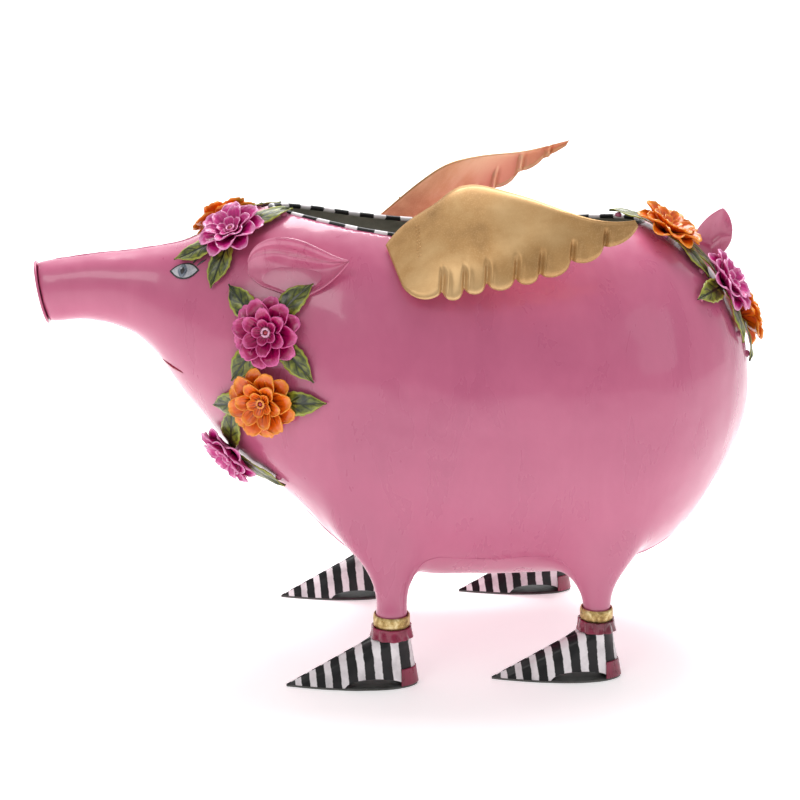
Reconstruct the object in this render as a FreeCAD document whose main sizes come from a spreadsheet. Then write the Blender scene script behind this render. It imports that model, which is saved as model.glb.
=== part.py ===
import FreeCAD, Part

import math
import os

# A hand-made garden planter in painted sheet metal: a round winged pig whose open back is the pot.
# Millimetres, +Z up, snout towards -X, soles on Z = 0. The pig's left side is -Y.

V = FreeCAD.Vector
UP = V(0, 0, 1)
doc = FreeCAD.newDocument("winged_pig_planter")
sheet = doc.addObject("Spreadsheet::Sheet", "sizes")

SIZES = {
    # barrel of the pig
    "snout_place": -345.5, "body_length": 697, "body_width": 304, "body_height": 368, "belly_height": 84, "body_wall": 1.5,
    "snout_tilt": 10, "snout_lip": 1,
    # opening in the back and its wire rim
    "opening_front": -128, "opening_length": 371, "opening_width": 170, "rim_wire": 4.8, "rim_gap": 0.1,
    # legs
    "front_leg_place": -19.5, "rear_leg_place": 178, "foot_spread": 124,
    "belly_panel_front_reach": 118, "belly_panel_rear_inset": 20, "belly_panel_rise": 166,
    "front_ankle_radius": 15, "rear_ankle_radius": 13.2, "leg_inner_lean": 3,
    # shoes
    "shoe_length": 126, "shoe_heel_reach": 25, "shoe_width": 50, "shoe_height": 48, "shoe_wall": 1.2,
    "sole_thickness": 2, "shoe_arch_place": 42, "shoe_arch_length": 56, "shoe_arch_rise": 9,
    "heel_cap_height": 19,
    "heel_cap_length": 17, "heel_cap_wall": 1, "cuff_height": 11, "cuff_wall": 2.6,
    "anklet_height": 11, "anklet_wall": 1.4,
    # wings
    "wing_length": 224, "wing_root_place": -22, "wing_root_height": 400, "wing_tip_spread": 140,
    "wing_half_depth": 49, "wing_seat_below": 18, "wing_seat_above": 14, "wing_tip_lean": 6,
    "wing_bulge": 15, "wing_wall": 1.2, "left_wing_rise": 38, "right_wing_rise": 94,
    # ears
    "ear_place": -147, "ear_base_height": 390, "ear_length": 90, "ear_spread": 34, "ear_cup": 9,
    "ear_wall": 1.2,
    # tail
    "tail_place": 287, "tail_base_height": 380, "tail_height": 58, "tail_width": 46, "tail_curl": 7,
    "tail_wall": 1.2,
    # flowers and leaves
    "bloom_diameter": 70, "bloom_hub_radius": 8, "petal_thickness": 0.8, "bloom_gap": 0.4,
    "leaf_reach": 62, "leaf_width": 20, "leaf_thickness": 0.8, "leaf_standoff": 4,
    "leaf_hub_radius": 8, "rivet_radius": 1.8, "rivet_collar_radius": 4, "rivet_head_radius": 3.6,
    "tack_radius": 2.5, "tack_reach": 48, "weld_gap": 0.1,
}
for row, (alias, value) in enumerate(SIZES.items(), start=1):
    sheet.set(f"A{row}", alias)
    sheet.set(f"B{row}", str(value))
    sheet.setAlias(f"B{row}", alias)
doc.recompute()


def size(alias):
    """The value of one named size, read from the sheet."""
    return float(getattr(sheet, alias))


def bind(obj, **expressions):
    """Ties properties of an object to expressions on the sheet's names."""
    for prop, expression in expressions.items():
        obj.setExpression(prop.replace("__", "."), expression)
    return obj


def primitive(kind, name, **expressions):
    """A Part primitive whose sizes are tied to the sheet."""
    return bind(doc.addObject(f"Part::{kind}", name), **expressions)


def feature(name, shape):
    """A free-formed piece, whose shape is worked out below."""
    obj = doc.addObject("Part::Feature", name)
    obj.Shape = shape
    return obj


def turn(axis, degrees):
    """A rotation about an axis."""
    return FreeCAD.Rotation(axis, degrees)


def smooth_loop(points):
    """A closed smooth wire through the points."""
    curve = Part.BSplineCurve()
    curve.interpolate(Points=points, PeriodicFlag=True)
    return Part.Wire([curve.toShape()])


def smooth_edge(points):
    """An open smooth edge through the points."""
    curve = Part.BSplineCurve()
    curve.interpolate(Points=points)
    return curve.toShape()


sub_parts = []

# ---------------------------------------------------------------- barrel of the pig
# Cross-sections from snout to rump. Each is shares of the length, height and width of the barrel: place,
# top, bottom, width, and the fullness of its lower half (2 is an ellipse, more is squarer).
BARREL = [
    (0.000, 0.840, 0.679, 0.161, 2.0), (0.070, 0.859, 0.682, 0.181, 2.0), (0.137, 0.872, 0.628, 0.250, 2.1),
    (0.197, 0.891, 0.473, 0.408, 2.2), (0.259, 0.943, 0.327, 0.592, 2.4), (0.338, 0.989, 0.212, 0.757, 2.7),
    (0.410, 1.000, 0.072, 0.895, 3.0), (0.496, 0.995, 0.011, 0.974, 3.2), (0.625, 0.984, 0.000, 1.000, 3.2),
    (0.751, 0.967, 0.003, 0.974, 3.1), (0.833, 0.940, 0.026, 0.895, 2.7), (0.890, 0.889, 0.078, 0.755, 2.3),
    (0.938, 0.807, 0.176, 0.570, 2.1), (0.973, 0.709, 0.282, 0.370, 2.0), (0.994, 0.601, 0.372, 0.185, 2.0),
    (1.000, 0.522, 0.446, 0.053, 2.0),
]
SECTION_POINTS = 24
snout_place = size("snout_place")
wall = size("body_wall")


def station(index):
    """Place, centre height, half height, half width and fullness of one cross-section, in mm."""
    along, top, bottom, width, fullness = BARREL[index]
    height = size("body_height")
    return [snout_place + along * size("body_length"), size("belly_height") + height * (top + bottom) / 2,
            height * (top - bottom) / 2, size("body_width") / 2 * width, fullness]


def section(place, centre, half_height, half_width, fullness, tilt=0.0):
    """One cross-section: an ellipse above its centre and a fuller one below, leaned about Y by tilt."""
    lean = math.radians(tilt)
    points = []
    for step in range(SECTION_POINTS):
        angle = 2 * math.pi * step / SECTION_POINTS
        across, rise = math.cos(angle), math.sin(angle)
        power = 2 / (2 if rise >= 0 else fullness)
        y = half_width * math.copysign(abs(across) ** power, across)
        z = half_height * math.copysign(abs(rise) ** power, rise)
        points.append(V(place - z * math.sin(lean), y, centre + z * math.cos(lean)))
    return smooth_loop(points)


def barrel(inset):
    """The barrel as a solid, drawn in by inset all over; drawn in, it runs out through the snout's end."""
    rows = [station(index) for index in range(len(BARREL))]
    sections = []
    for index, (place, centre, half_height, half_width, fullness) in enumerate(rows):
        before, after = rows[max(index - 1, 0)], rows[min(index + 1, len(rows) - 1)]
        run, tall, wide = after[0] - before[0], after[2] - before[2], after[3] - before[3]
        if index == len(rows) - 1:
            place -= inset
        else:
            place += inset * tall / math.hypot(run, tall)
            half_height -= inset * run / math.hypot(run, tall)
            half_width -= inset * run / math.hypot(run, wide)
        if index == 0 and inset > 0:
            place -= 3 * inset
        tilt = size("snout_tilt") if index == 0 else 0
        sections.append(section(place, centre, half_height, half_width, fullness, -tilt))
    return Part.makeLoft(sections, True, False)


body_solid = barrel(0)
body_hollow = barrel(wall)
skin = body_solid.Faces[0].Surface


def centre_height(place):
    """Height of the barrel's centre line at a place along X."""
    rows = [station(index) for index in range(len(BARREL))]
    for low, high in zip(rows, rows[1:]):
        if place <= high[0]:
            share = (place - low[0]) / (high[0] - low[0])
            return low[1] + share * (high[1] - low[1])
    return rows[-1][1]


def skin_point(start, direction):
    """Where a line from start, inside the barrel, leaves through its skin: tangent planes, from outside in."""
    point = start + direction * size("body_length") / 2
    for _ in range(7):
        along, around = skin.parameter(point)
        normal = skin.normal(along, around)
        point += direction * ((skin.value(along, around) - point).dot(normal) / direction.dot(normal))
    return point


def skin_frame(point):
    """The nearest point of the skin and the outward normal there."""
    along, around = skin.parameter(point)
    foot, normal = skin.value(along, around), skin.normal(along, around)
    outward = foot - V(foot.x, 0, centre_height(foot.x))
    return foot, normal if normal.dot(outward) > 0 else -normal


# Legs rise from the ankle and flare into the barrel: height above the belly and flare of the radius.
LEG_FLARE = {
    "front": [(4, 2.3, 2), (25, 10, 6), (40, 23, 15), (62, 41, 26), (92, 57, 36)],
    "rear": [(-7, 1.3, 1), (9, 10.8, 7), (26, 25, 15), (46, 43, 27), (82, 57, 38)],
}
cuff_top = size("shoe_height") + size("cuff_height")
anklet_top = cuff_top + size("anklet_height")
FEET = {}
for pair in ("front", "rear"):
    FEET[f"{pair}_left"] = (pair, size(f"{pair}_leg_place"), -1)
    FEET[f"{pair}_right"] = (pair, size(f"{pair}_leg_place"), 1)


def leg(pair, place, side, inset):
    """A leg as a solid from the shoe to inside the barrel, drawn in by inset."""
    ankle = size(f"{pair}_ankle_radius")
    rows = [(size("shoe_height"), 0, 0), (anklet_top, 0, 0)]
    rows += [(max(size("belly_height") + rise, anklet_top + 1 + index), flare, inward)
             for index, (rise, flare, inward) in enumerate(LEG_FLARE[pair])]
    if inset > 0:
        rows[0] = (rows[0][0] - 1, 0, 0)
    sections = []
    for height, flare, inward in rows:
        lean = size("leg_inner_lean") * max(height - anklet_top, 0) / 100
        centre = V(place, side * (size("foot_spread") - inward - lean), height)
        long_radius, short_radius = ankle + flare - inset, ankle + inward - inset
        oval = Part.Ellipse(V(0, 0, 0), long_radius + 0.001, short_radius)
        edge = oval.toShape()
        edge.translate(centre)
        sections.append(Part.Wire([edge]))
    return Part.makeLoft(sections, True, False)


outer = body_solid
hollow = body_hollow
for pair, place, side in FEET.values():
    outer = outer.fuse(leg(pair, place, side, 0))
    hollow = hollow.fuse(leg(pair, place, side, wall))

# The barrel and legs are one thin shell, open at the snout's end, under the ankles and in the back.
rim_radius = size("rim_wire") / 2
opening_centre = size("opening_front") + size("opening_length") / 2
opening_tool = Part.Ellipse(V(0, 0, 0), size("opening_length") / 2, size("opening_width") / 2).toShape()
opening_tool = Part.Face(Part.Wire([opening_tool])).extrude(UP * size("body_height"))
opening_tool.translate(V(opening_centre, 0, size("belly_height") + size("body_height") / 2))
shell = outer.cut(hollow).cut(opening_tool)

# The belly panel runs from chest to rump and takes the inner half of each leg.
rump_place = snout_place + size("body_length")
belly_corners = [V(size("front_leg_place") - size("belly_panel_front_reach"), 0, 0)]
for pair, side in (("front", -1), ("rear", -1)):
    belly_corners.append(V(size(f"{pair}_leg_place"), side * size("foot_spread"), 0))
belly_corners.append(V(rump_place - size("belly_panel_rear_inset"), 0, 0))
for pair in ("rear", "front"):
    belly_corners.append(V(size(f"{pair}_leg_place"), size("foot_spread"), 0))
belly_tool = Part.Face(Part.makePolygon(belly_corners + belly_corners[:1]))
belly_tool = belly_tool.extrude(UP * (size("belly_height") + size("belly_panel_rise")))
belly_panel = feature("belly_panel", shell.common(belly_tool))
sides = shell.cut(belly_tool)
half_space = Part.makeBox(2 * size("body_length"), size("body_width"), 3 * size("body_height"),
                          V(-size("body_length"), 0, 0))
right_side_panel = feature("right_side_panel", sides.common(half_space))
left_side_panel = feature("left_side_panel", sides.cut(half_space))
sub_parts += [left_side_panel, right_side_panel, belly_panel]

# The snout plate closes the snout; its rim stands proud all round.
_, snout_top, snout_bottom, snout_width, _ = BARREL[0]
snout_plate_outline = primitive(
    "Ellipse", "snout_plate_outline",
    MajorRadius=f"sizes.body_height * {(snout_top - snout_bottom) / 2:.4f} + sizes.snout_lip",
    MinorRadius=f"sizes.body_width * {snout_width / 2:.4f} + sizes.snout_lip")
snout_plate = doc.addObject("Part::Extrusion", "snout_plate")
snout_plate.Base = snout_plate_outline
snout_plate.DirMode = "Normal"
snout_plate.Solid = True
bind(snout_plate, LengthFwd="sizes.body_wall")
facing_snout = FreeCAD.Rotation(UP, V(0, 1, 0), V(-1, 0, 0), "XYZ")
snout_plate.Placement = FreeCAD.Placement(
    V(snout_place, 0, station(0)[1]), turn(V(0, 1, 0), -size("snout_tilt")).multiply(facing_snout))
sub_parts.append(snout_plate)

# The wire rim lies just inside the edge of the opening.
RIM_POINTS = 32
rim_path = []
for step in range(RIM_POINTS):
    angle = 2 * math.pi * step / RIM_POINTS
    inset = rim_radius + size("rim_gap")
    x = opening_centre + (size("opening_length") / 2 - inset) * math.cos(angle)
    y = (size("opening_width") / 2 - inset) * math.sin(angle)
    top = skin_point(V(x, y, size("belly_height") + size("body_height") / 2), UP).z
    rim_path.append(V(x, y, top - wall / 2))
rim_rings = []
for before, point, after in zip(rim_path[-1:] + rim_path[:-1], rim_path, rim_path[1:] + rim_path[:1]):
    rim_rings.append(Part.Wire([Part.Circle(point, after - before, rim_radius).toShape()]))
opening_rim = feature("opening_rim", Part.makeLoft(rim_rings, True, False, True))
sub_parts.append(opening_rim)


# ---------------------------------------------------------------- bent sheet pieces
def bent_sheet(outline, spread, thickness, side, corners):
    """A sheet cut to an outline in the XZ plane, bowed so that spread(x, z) is its distance from Y = 0.

    The sheet lies on the given side, outside the barrel; corners are the low and high (x, z) of a patch
    that holds the outline.
    """
    (low_x, low_z), (high_x, high_z) = corners
    steps = 8
    rows = []
    for i in range(steps + 1):
        x = low_x + (high_x - low_x) * i / steps
        heights = [low_z + (high_z - low_z) * j / steps for j in range(steps + 1)]
        rows.append([V(x, side * spread(x, z), z) for z in heights])
    surface = Part.BSplineSurface()
    surface.interpolate(rows)
    patch = surface.toShape().extrude(V(0, side * thickness, 0))
    reach = size("body_width")
    prism = Part.Face(outline).extrude(V(0, 2 * reach, 0))
    prism.translate(V(0, -reach, 0))
    return patch.common(prism).cut(body_solid)


def share_points(corner, length, depth, shares):
    """Points in the XZ plane from shares of a length and a depth, counted from a corner."""
    return [V(corner[0] + along * length, 0, corner[1] + rise * depth) for along, rise in shares]


# A wing's outline in shares of its length: the smooth upper edge from root to tip, then the lower edge
# back to the root, whose scallops are arcs between notches and the low point of each feather.
LEFT_WING_TOP = [(0.000, 0.075), (0.115, 0.185), (0.220, 0.252), (0.300, 0.305), (0.385, 0.318),
                 (0.445, 0.308), (0.600, 0.268), (0.775, 0.210), (0.985, 0.195)]
LEFT_WING_SCALLOPS = [(1.000, 0.168), (0.925, 0.098), (0.860, 0.088), (0.795, 0.028), (0.725, 0.036),
                      (0.655, -0.030), (0.598, -0.018), (0.535, -0.058), (0.500, -0.036), (0.440, -0.082),
                      (0.385, -0.052), (0.335, -0.098), (0.295, -0.076), (0.250, -0.122), (0.210, -0.092),
                      (0.130, -0.120), (0.055, -0.075)]
RIGHT_WING_TOP = [(0.000, 0.075), (0.130, 0.180), (0.255, 0.275), (0.360, 0.335), (0.455, 0.358),
                  (0.550, 0.368), (0.750, 0.380), (0.900, 0.412), (0.965, 0.428)]
RIGHT_WING_SCALLOPS = [(0.950, 0.398), (0.890, 0.362), (0.840, 0.335), (0.775, 0.288), (0.725, 0.278),
                       (0.665, 0.212), (0.615, 0.200), (0.550, 0.128), (0.495, 0.118), (0.430, 0.052),
                       (0.375, 0.045), (0.310, -0.012), (0.260, -0.018), (0.205, -0.058), (0.165, -0.058),
                       (0.110, -0.088), (0.055, -0.075)]


def wing_outline(top, scallops):
    """A wing's closed outline in the XZ plane."""
    corner = (size("wing_root_place"), size("wing_root_height"))
    length = size("wing_length")
    upper = share_points(corner, length, length, top)
    lower = share_points(corner, length, length, scallops)
    edges = [smooth_edge(upper), Part.makeLine(upper[-1], lower[0])]
    for notch, feather, following in zip(lower[::2], lower[1::2], lower[2::2]):
        edges.append(Part.Arc(notch, feather, following).toShape())
    edges.append(Part.makeLine(lower[-1], upper[0]))
    return Part.Wire(edges)


def wing(side, rise, top, scallops):
    """A wing on one side, whose tip is lifted by rise above its root."""
    root = size("wing_root_place")
    base = size("wing_root_height")
    length = size("wing_length")
    half_depth = size("wing_half_depth")
    below, above = size("wing_seat_below"), size("wing_seat_above")
    seat_low = abs(skin_point(V(root, 0, base - below), V(0, side, 0)).y)
    seat_high = abs(skin_point(V(root, 0, base + above), V(0, side, 0)).y)
    seat = (seat_low + seat_high) / 2
    seat_slope = (seat_low - seat_high) / (below + above) * half_depth

    def spread(x, z):
        along = min(max((x - root) / length, 0), 1.1)
        level = (z - base - rise * along) / half_depth
        line = seat + (size("wing_tip_spread") - seat) * along ** 0.6
        lean = (seat_slope * (1 - along) + size("wing_tip_lean") * along) * level
        return line - lean + size("wing_bulge") * (1 - level ** 2) * math.sin(math.pi * along / 1.1)

    corners = ((root - 8, base - 0.2 * length), (root + 1.04 * length, base + 0.5 * length))
    return bent_sheet(wing_outline(top, scallops), spread, size("wing_wall"), side, corners)


left_wing = feature("left_wing", wing(-1, size("left_wing_rise"), LEFT_WING_TOP, LEFT_WING_SCALLOPS))
right_wing = feature("right_wing", wing(1, size("right_wing_rise"), RIGHT_WING_TOP, RIGHT_WING_SCALLOPS))
sub_parts += [left_wing, right_wing]

# An ear is a cupped leaf: root, rounded upper fold, pointed tip and lower curve, in shares of its length.
EAR_UPPER = [(0.00, -0.02), (0.13, 0.34), (0.31, 0.395), (0.51, 0.375), (0.72, 0.285), (1.00, 0.175)]
EAR_LOWER = [(1.00, 0.175), (0.83, -0.020), (0.62, -0.160), (0.41, -0.210), (0.20, -0.155), (0.00, -0.02)]


def ear(side):
    """An ear on one side, standing off the barrel from its root backwards."""
    place, base, length = size("ear_place"), size("ear_base_height"), size("ear_length")
    edges = [smooth_edge(share_points((place, base), length, length, shares))
             for shares in (EAR_UPPER, EAR_LOWER)]
    seat = abs(skin_point(V(place + 0.06 * length, 0, base), V(0, side, 0)).y)

    def spread(x, z):
        along = min(max((x - place) / length, 0), 1.1)
        level = (z - base - 0.09 * length) / (0.3 * length)
        return seat + size("ear_spread") * along ** 0.8 + size("ear_cup") * level ** 2 * along

    corners = ((place - 8, base - 0.35 * length), (place + 1.1 * length, base + 0.5 * length))
    return bent_sheet(Part.Wire(edges), spread, size("ear_wall"), side, corners)


for name, side in (("left_ear", -1), ("right_ear", 1)):
    sub_parts.append(feature(name, ear(side)))

# The tail is a small curled leaf that stands up on the rump, in shares of its width and height.
TAIL_FRONT = [(0.02, 0.00), (0.12, 0.45), (0.40, 0.82), (0.74, 1.00)]
TAIL_BACK = [(0.74, 1.00), (0.96, 0.72), (0.97, 0.40), (0.72, 0.12), (0.45, -0.12), (0.02, 0.00)]
tail_corner = (size("tail_place"), size("tail_base_height"))
tail_edges = [smooth_edge(share_points(tail_corner, size("tail_width"), size("tail_height"), shares))
              for shares in (TAIL_FRONT, TAIL_BACK)]


def tail_spread(x, z):
    """The tail's curl: its edges bend to one side and its tip to the other."""
    along = (x - size("tail_place")) / size("tail_width")
    rise = (z - size("tail_base_height")) / size("tail_height")
    return size("tail_curl") * (2 * (along - 0.5 * rise - 0.3) ** 2 - 0.5 * rise)


tail_patch = ((size("tail_place") - 3, size("tail_base_height") - 0.25 * size("tail_height")),
              (size("tail_place") + 1.1 * size("tail_width"), size("tail_base_height") + 1.1 * size("tail_height")))
tail = feature("tail", bent_sheet(Part.Wire(tail_edges), tail_spread, size("tail_wall"), 1, tail_patch))
sub_parts.append(tail)


# ---------------------------------------------------------------- feet
SHOE_POINTS = 20


def shoe_outline(height, grow):
    """The pointed outline of a shoe at the sole, toe towards -X, its ankle over the origin."""
    toe, heel = size("shoe_heel_reach") - size("shoe_length") - grow, size("shoe_heel_reach") + grow
    middle, half_length, half_width = (toe + heel) / 2, (heel - toe) / 2, size("shoe_width") / 2 + grow
    points = []
    for step in range(SHOE_POINTS):
        angle = 2 * math.pi * step / SHOE_POINTS
        taper = 0.14 + 0.86 * ((1 + math.cos(angle)) / 2) ** 0.6
        points.append(V(middle + half_length * math.cos(angle), half_width * taper * math.sin(angle), height))
    return smooth_loop(points)


def shoe_form(ankle, grow):
    """A shoe as a solid from the sole's outline to the ankle's ring, grown by grow."""
    ring = Part.Circle(V(0, 0, size("shoe_height")), UP, ankle + size("cuff_wall") + grow)
    rows = [shoe_outline(size("sole_thickness"), grow), Part.Wire([ring.toShape()])]
    return Part.makeLoft(rows, True, True)


def shoe_pieces(ankle):
    """The upper, sole and heel cap of one shoe, with its ankle over the origin."""
    form = shoe_form(ankle, 0)
    arch = Part.Ellipse(V(0, 0, 0), size("shoe_arch_length") / 2, size("shoe_arch_rise")).toShape()
    arch = Part.Face(Part.Wire([arch])).extrude(UP * 2 * size("shoe_width"))
    arch.Placement = FreeCAD.Placement(
        V(size("shoe_heel_reach") - size("shoe_arch_place"), size("shoe_width"), size("sole_thickness")),
        turn(V(1, 0, 0), 90))
    upper = form.cut(shoe_form(ankle, -size("shoe_wall"))).cut(arch)
    sole = Part.Face(shoe_outline(0, 0)).extrude(UP * size("sole_thickness"))
    corner = Part.makeBox(size("shoe_length"), 2 * size("shoe_width"),
                          size("heel_cap_height") - size("sole_thickness"),
                          V(size("shoe_heel_reach") - size("heel_cap_length"), -size("shoe_width"),
                            size("sole_thickness")))
    heel_cap = shoe_form(ankle, size("heel_cap_wall")).cut(form).common(corner)
    return {"shoe_upper": upper, "shoe_sole": sole, "heel_cap": heel_cap}


def ring_piece(name, ankle, wall_name, height_name):
    """A plain ring round the ankle, as a cut of two cylinders."""
    band = primitive("Cylinder", f"{name}_band", Radius=f"{ankle} + sizes.{wall_name}",
                     Height=f"sizes.{height_name}")
    bore = primitive("Cylinder", f"{name}_bore", Radius=ankle, Height=f"sizes.{height_name}")
    ring = doc.addObject("Part::Cut", name)
    ring.Base, ring.Tool = band, bore
    return ring


for foot, (pair, place, side) in FEET.items():
    ankle_alias = f"sizes.{pair}_ankle_radius"
    spot = V(place, side * size("foot_spread"), 0)
    for piece_name, shape in shoe_pieces(size(f"{pair}_ankle_radius")).items():
        piece = feature(f"{foot}_{piece_name}", shape)
        piece.Placement = FreeCAD.Placement(spot, FreeCAD.Rotation())
        sub_parts.append(piece)
    cuff = ring_piece(f"{foot}_sock_cuff", ankle_alias, "cuff_wall", "cuff_height")
    cuff.Placement = FreeCAD.Placement(spot + UP * size("shoe_height"), FreeCAD.Rotation())
    anklet = ring_piece(f"{foot}_anklet", ankle_alias, "anklet_wall", "anklet_height")
    anklet.Placement = FreeCAD.Placement(spot + UP * cuff_top, FreeCAD.Rotation())
    sub_parts += [cuff, anklet]


# ---------------------------------------------------------------- flowers, leaves and their rivets
# Each flower: place along X, angle round the barrel from the top towards the left side, turn about its own
# axis, and the directions of its leaves in degrees from the tail's direction.
BLOOMS = {
    "crown_left": (-160, 22.5, 0, (20, 75, 185, 240)),
    "crown_right": (-166, -25, 30, (-30, 175, 300)),
    "cheek_left": (-129.6, 74, 10, (48, 132, 228, 312)),
    "cheek_right": (-129.6, -74, 10, (48, 132, 228, 312)),
    "throat_left": (-134.8, 109, 40, (5, 196)),
    "throat_right": (-134.8, -109, 40, (-5, 164)),
    "chest": (-164.1, 151.7, 0, (0, 100)),
    "rump_left_front": (253.9, 13.6, 20, (-35, 150)),
    "rump_left_rear": (309.2, 22.5, 0, (140, 225, 315)),
    "rump_centre": (340, -6, 30, (200, 320)),
    "rump_right_rear": (309.2, -26, 0, (45, 135, 220)),
}

# Three rings of petals, each bent up more than the one under it: share of the flower's radius, tilt.
PETAL_RINGS = [(1.00, 12), (0.74, 30), (0.46, 52)]
PETALS = 6


def petal_ring(index):
    """One ring of petals on a flat hub, cupped upwards."""
    share, tilt = PETAL_RINGS[index]
    name = f"petal_ring_{index + 1}"
    outer_radius = size("bloom_diameter") / 2 * share
    hub, thick = size("bloom_hub_radius") * (1 - 0.25 * index), size("petal_thickness")
    rise = (outer_radius - hub) * math.tan(math.radians(tilt))
    bend = V(hub, 0, 0)
    lift = V((outer_radius + hub) / 2, 0, 0.38 * rise)
    tip = V(outer_radius, 0, rise)
    up = UP * thick
    edges = [Part.makeLine(V(size("rivet_radius"), 0, 0), bend), Part.Arc(bend, lift, tip).toShape(),
             Part.makeLine(tip, tip + up), Part.Arc(tip + up, lift + up, bend + up).toShape(),
             Part.makeLine(bend + up, V(size("rivet_radius"), 0, thick)),
             Part.makeLine(V(size("rivet_radius"), 0, thick), V(size("rivet_radius"), 0, 0))]
    dish = Part.Face(Part.Wire(edges)).revolve(V(0, 0, 0), UP, 360)
    cutter = Part.makeCylinder(hub, 2 * outer_radius, V(0, 0, -thick))
    for petal in range(PETALS):
        around = math.radians(360 / PETALS * (petal + 0.5 * index))
        middle = 0.64 * outer_radius
        cutter = cutter.fuse(Part.makeCylinder(0.36 * outer_radius, 2 * outer_radius,
                                               V(middle * math.cos(around), middle * math.sin(around), -thick)))
    ring = feature(name, dish.common(cutter))
    ring.Placement.Base = UP * (thick * index)
    return ring


petal_rings = [petal_ring(index) for index in range(len(PETAL_RINGS))]
stack_height = size("leaf_standoff") + size("leaf_thickness") + size("bloom_gap")
LEAF_ROWS = 5
LEAF_COLUMNS = 3


def leaf(at_skin, direction):
    """One leaf that follows the barrel at the standoff, from the flower's hub out to its tip."""
    start, reach, half = size("leaf_hub_radius") / 2, size("leaf_reach"), size("leaf_width") / 2
    heading = turn(UP, direction)
    rows = []
    for i in range(LEAF_ROWS):
        share = i / (LEAF_ROWS - 1)
        across = half * (0.1 + 0.9 * math.sin(math.pi * share ** 1.2)) * (1 - 0.6 * share ** 6)
        row = []
        for j in range(LEAF_COLUMNS):
            local = V(start + (reach - start) * share, across * (2 * j / (LEAF_COLUMNS - 1) - 1), 0)
            foot, normal = skin_frame(at_skin.multVec(heading.multVec(local)))
            row.append(foot + normal * size("leaf_standoff"))
        rows.append(row)
    surface = Part.BSplineSurface()
    surface.interpolate(rows)
    _, normal = skin_frame(rows[LEAF_ROWS // 2][LEAF_COLUMNS // 2])
    return surface.toShape().extrude(normal * size("leaf_thickness"))


def pillar(radius, low, high, placement):
    """A round pillar between two heights of a placement."""
    shape = Part.makeCylinder(radius, high - low, V(0, 0, low))
    shape.Placement = placement
    return shape


def seat_placement(point):
    """The placement on the skin nearest to a point: Z outwards, X towards the tail."""
    foot, normal = skin_frame(point)
    tailward = V(1, 0, 0) - normal * normal.x
    return FreeCAD.Placement(foot, FreeCAD.Rotation(tailward, normal.cross(tailward), normal, "ZXY"))


leaf_top = size("leaf_standoff") + size("leaf_thickness")
stack_height = leaf_top + size("bloom_gap")
shank_top = stack_height + size("petal_thickness") * len(PETAL_RINGS)
rivets = []
tacks = []
for bloom, (place, around, spin, directions) in BLOOMS.items():
    angle = math.radians(around)
    outward = V(0, -math.sin(angle), math.cos(angle))
    at_skin = seat_placement(skin_point(V(place, 0, centre_height(place)), outward))
    flower = doc.addObject("Part::Compound", f"{bloom}_flower")
    flower.Links = petal_rings
    flower.Placement = at_skin.multiply(FreeCAD.Placement(UP * stack_height, turn(UP, spin)))

    spray = pillar(size("leaf_hub_radius"), size("leaf_standoff"), leaf_top, at_skin)
    for direction in directions:
        spray = spray.fuse(leaf(at_skin, direction))
        tip = at_skin.multVec(turn(UP, direction).multVec(V(size("tack_reach"), 0, 0)))
        tacks.append(pillar(size("tack_radius"), size("weld_gap"), size("leaf_standoff") - size("weld_gap"),
                            seat_placement(tip)))
    spray = spray.cut(pillar(size("rivet_radius"), 0, 2 * leaf_top, at_skin))
    sub_parts += [flower, feature(f"{bloom}_leaves", spray)]

    head = Part.makeSphere(size("rivet_head_radius"), V(0, 0, 0), UP, 0, 90, 360)
    head.Placement = at_skin.multiply(FreeCAD.Placement(UP * shank_top, FreeCAD.Rotation()))
    collar = pillar(size("rivet_collar_radius"), size("weld_gap"), size("leaf_standoff"), at_skin)
    shank = pillar(size("rivet_radius"), size("weld_gap"), shank_top, at_skin)
    rivets.append(shank.fuse([head, collar]))
sub_parts.append(feature("flower_rivets", Part.makeCompound([s for rivet in rivets for s in rivet.Solids])))
sub_parts.append(feature("tack_welds", Part.makeCompound(tacks)))

# ---------------------------------------------------------------- checks, placing and writing
doc.recompute()
for obj in doc.Objects:
    if {"Invalid", "Error"} & set(obj.State):
        raise RuntimeError(f"{obj.Label} failed: {obj.State}")
for piece in sub_parts:
    if piece.Shape.isNull() or not piece.Shape.isValid():
        raise RuntimeError(f"{piece.Label} has no valid shape")

# The origin lies on the ground under the middle of the whole object.
box = FreeCAD.BoundBox()
for piece in sub_parts:
    box.add(piece.Shape.optimalBoundingBox(False))
shift = V(-box.Center.x, -box.Center.y, -box.ZMin)
for piece in sub_parts:
    piece.Placement = FreeCAD.Placement(shift, FreeCAD.Rotation()).multiply(piece.Placement)
doc.recompute()

os.makedirs("parts", exist_ok=True)
for piece in sub_parts:
    piece.Shape.exportStep(f"parts/{piece.Label}.step")
print(f"{len(sub_parts)} sub-parts written, moved by {shift}")
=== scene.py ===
"""Looks of the winged pig planter: painted skin, wings, garland and shoes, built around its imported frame."""

import logging
import math
from dataclasses import dataclass, field
from enum import Enum
from typing import Callable, Iterable, Sequence

import bmesh
import bpy
import numpy as np
from mathutils import Matrix, Vector, noise
from mathutils.bvhtree import BVHTree


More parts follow.
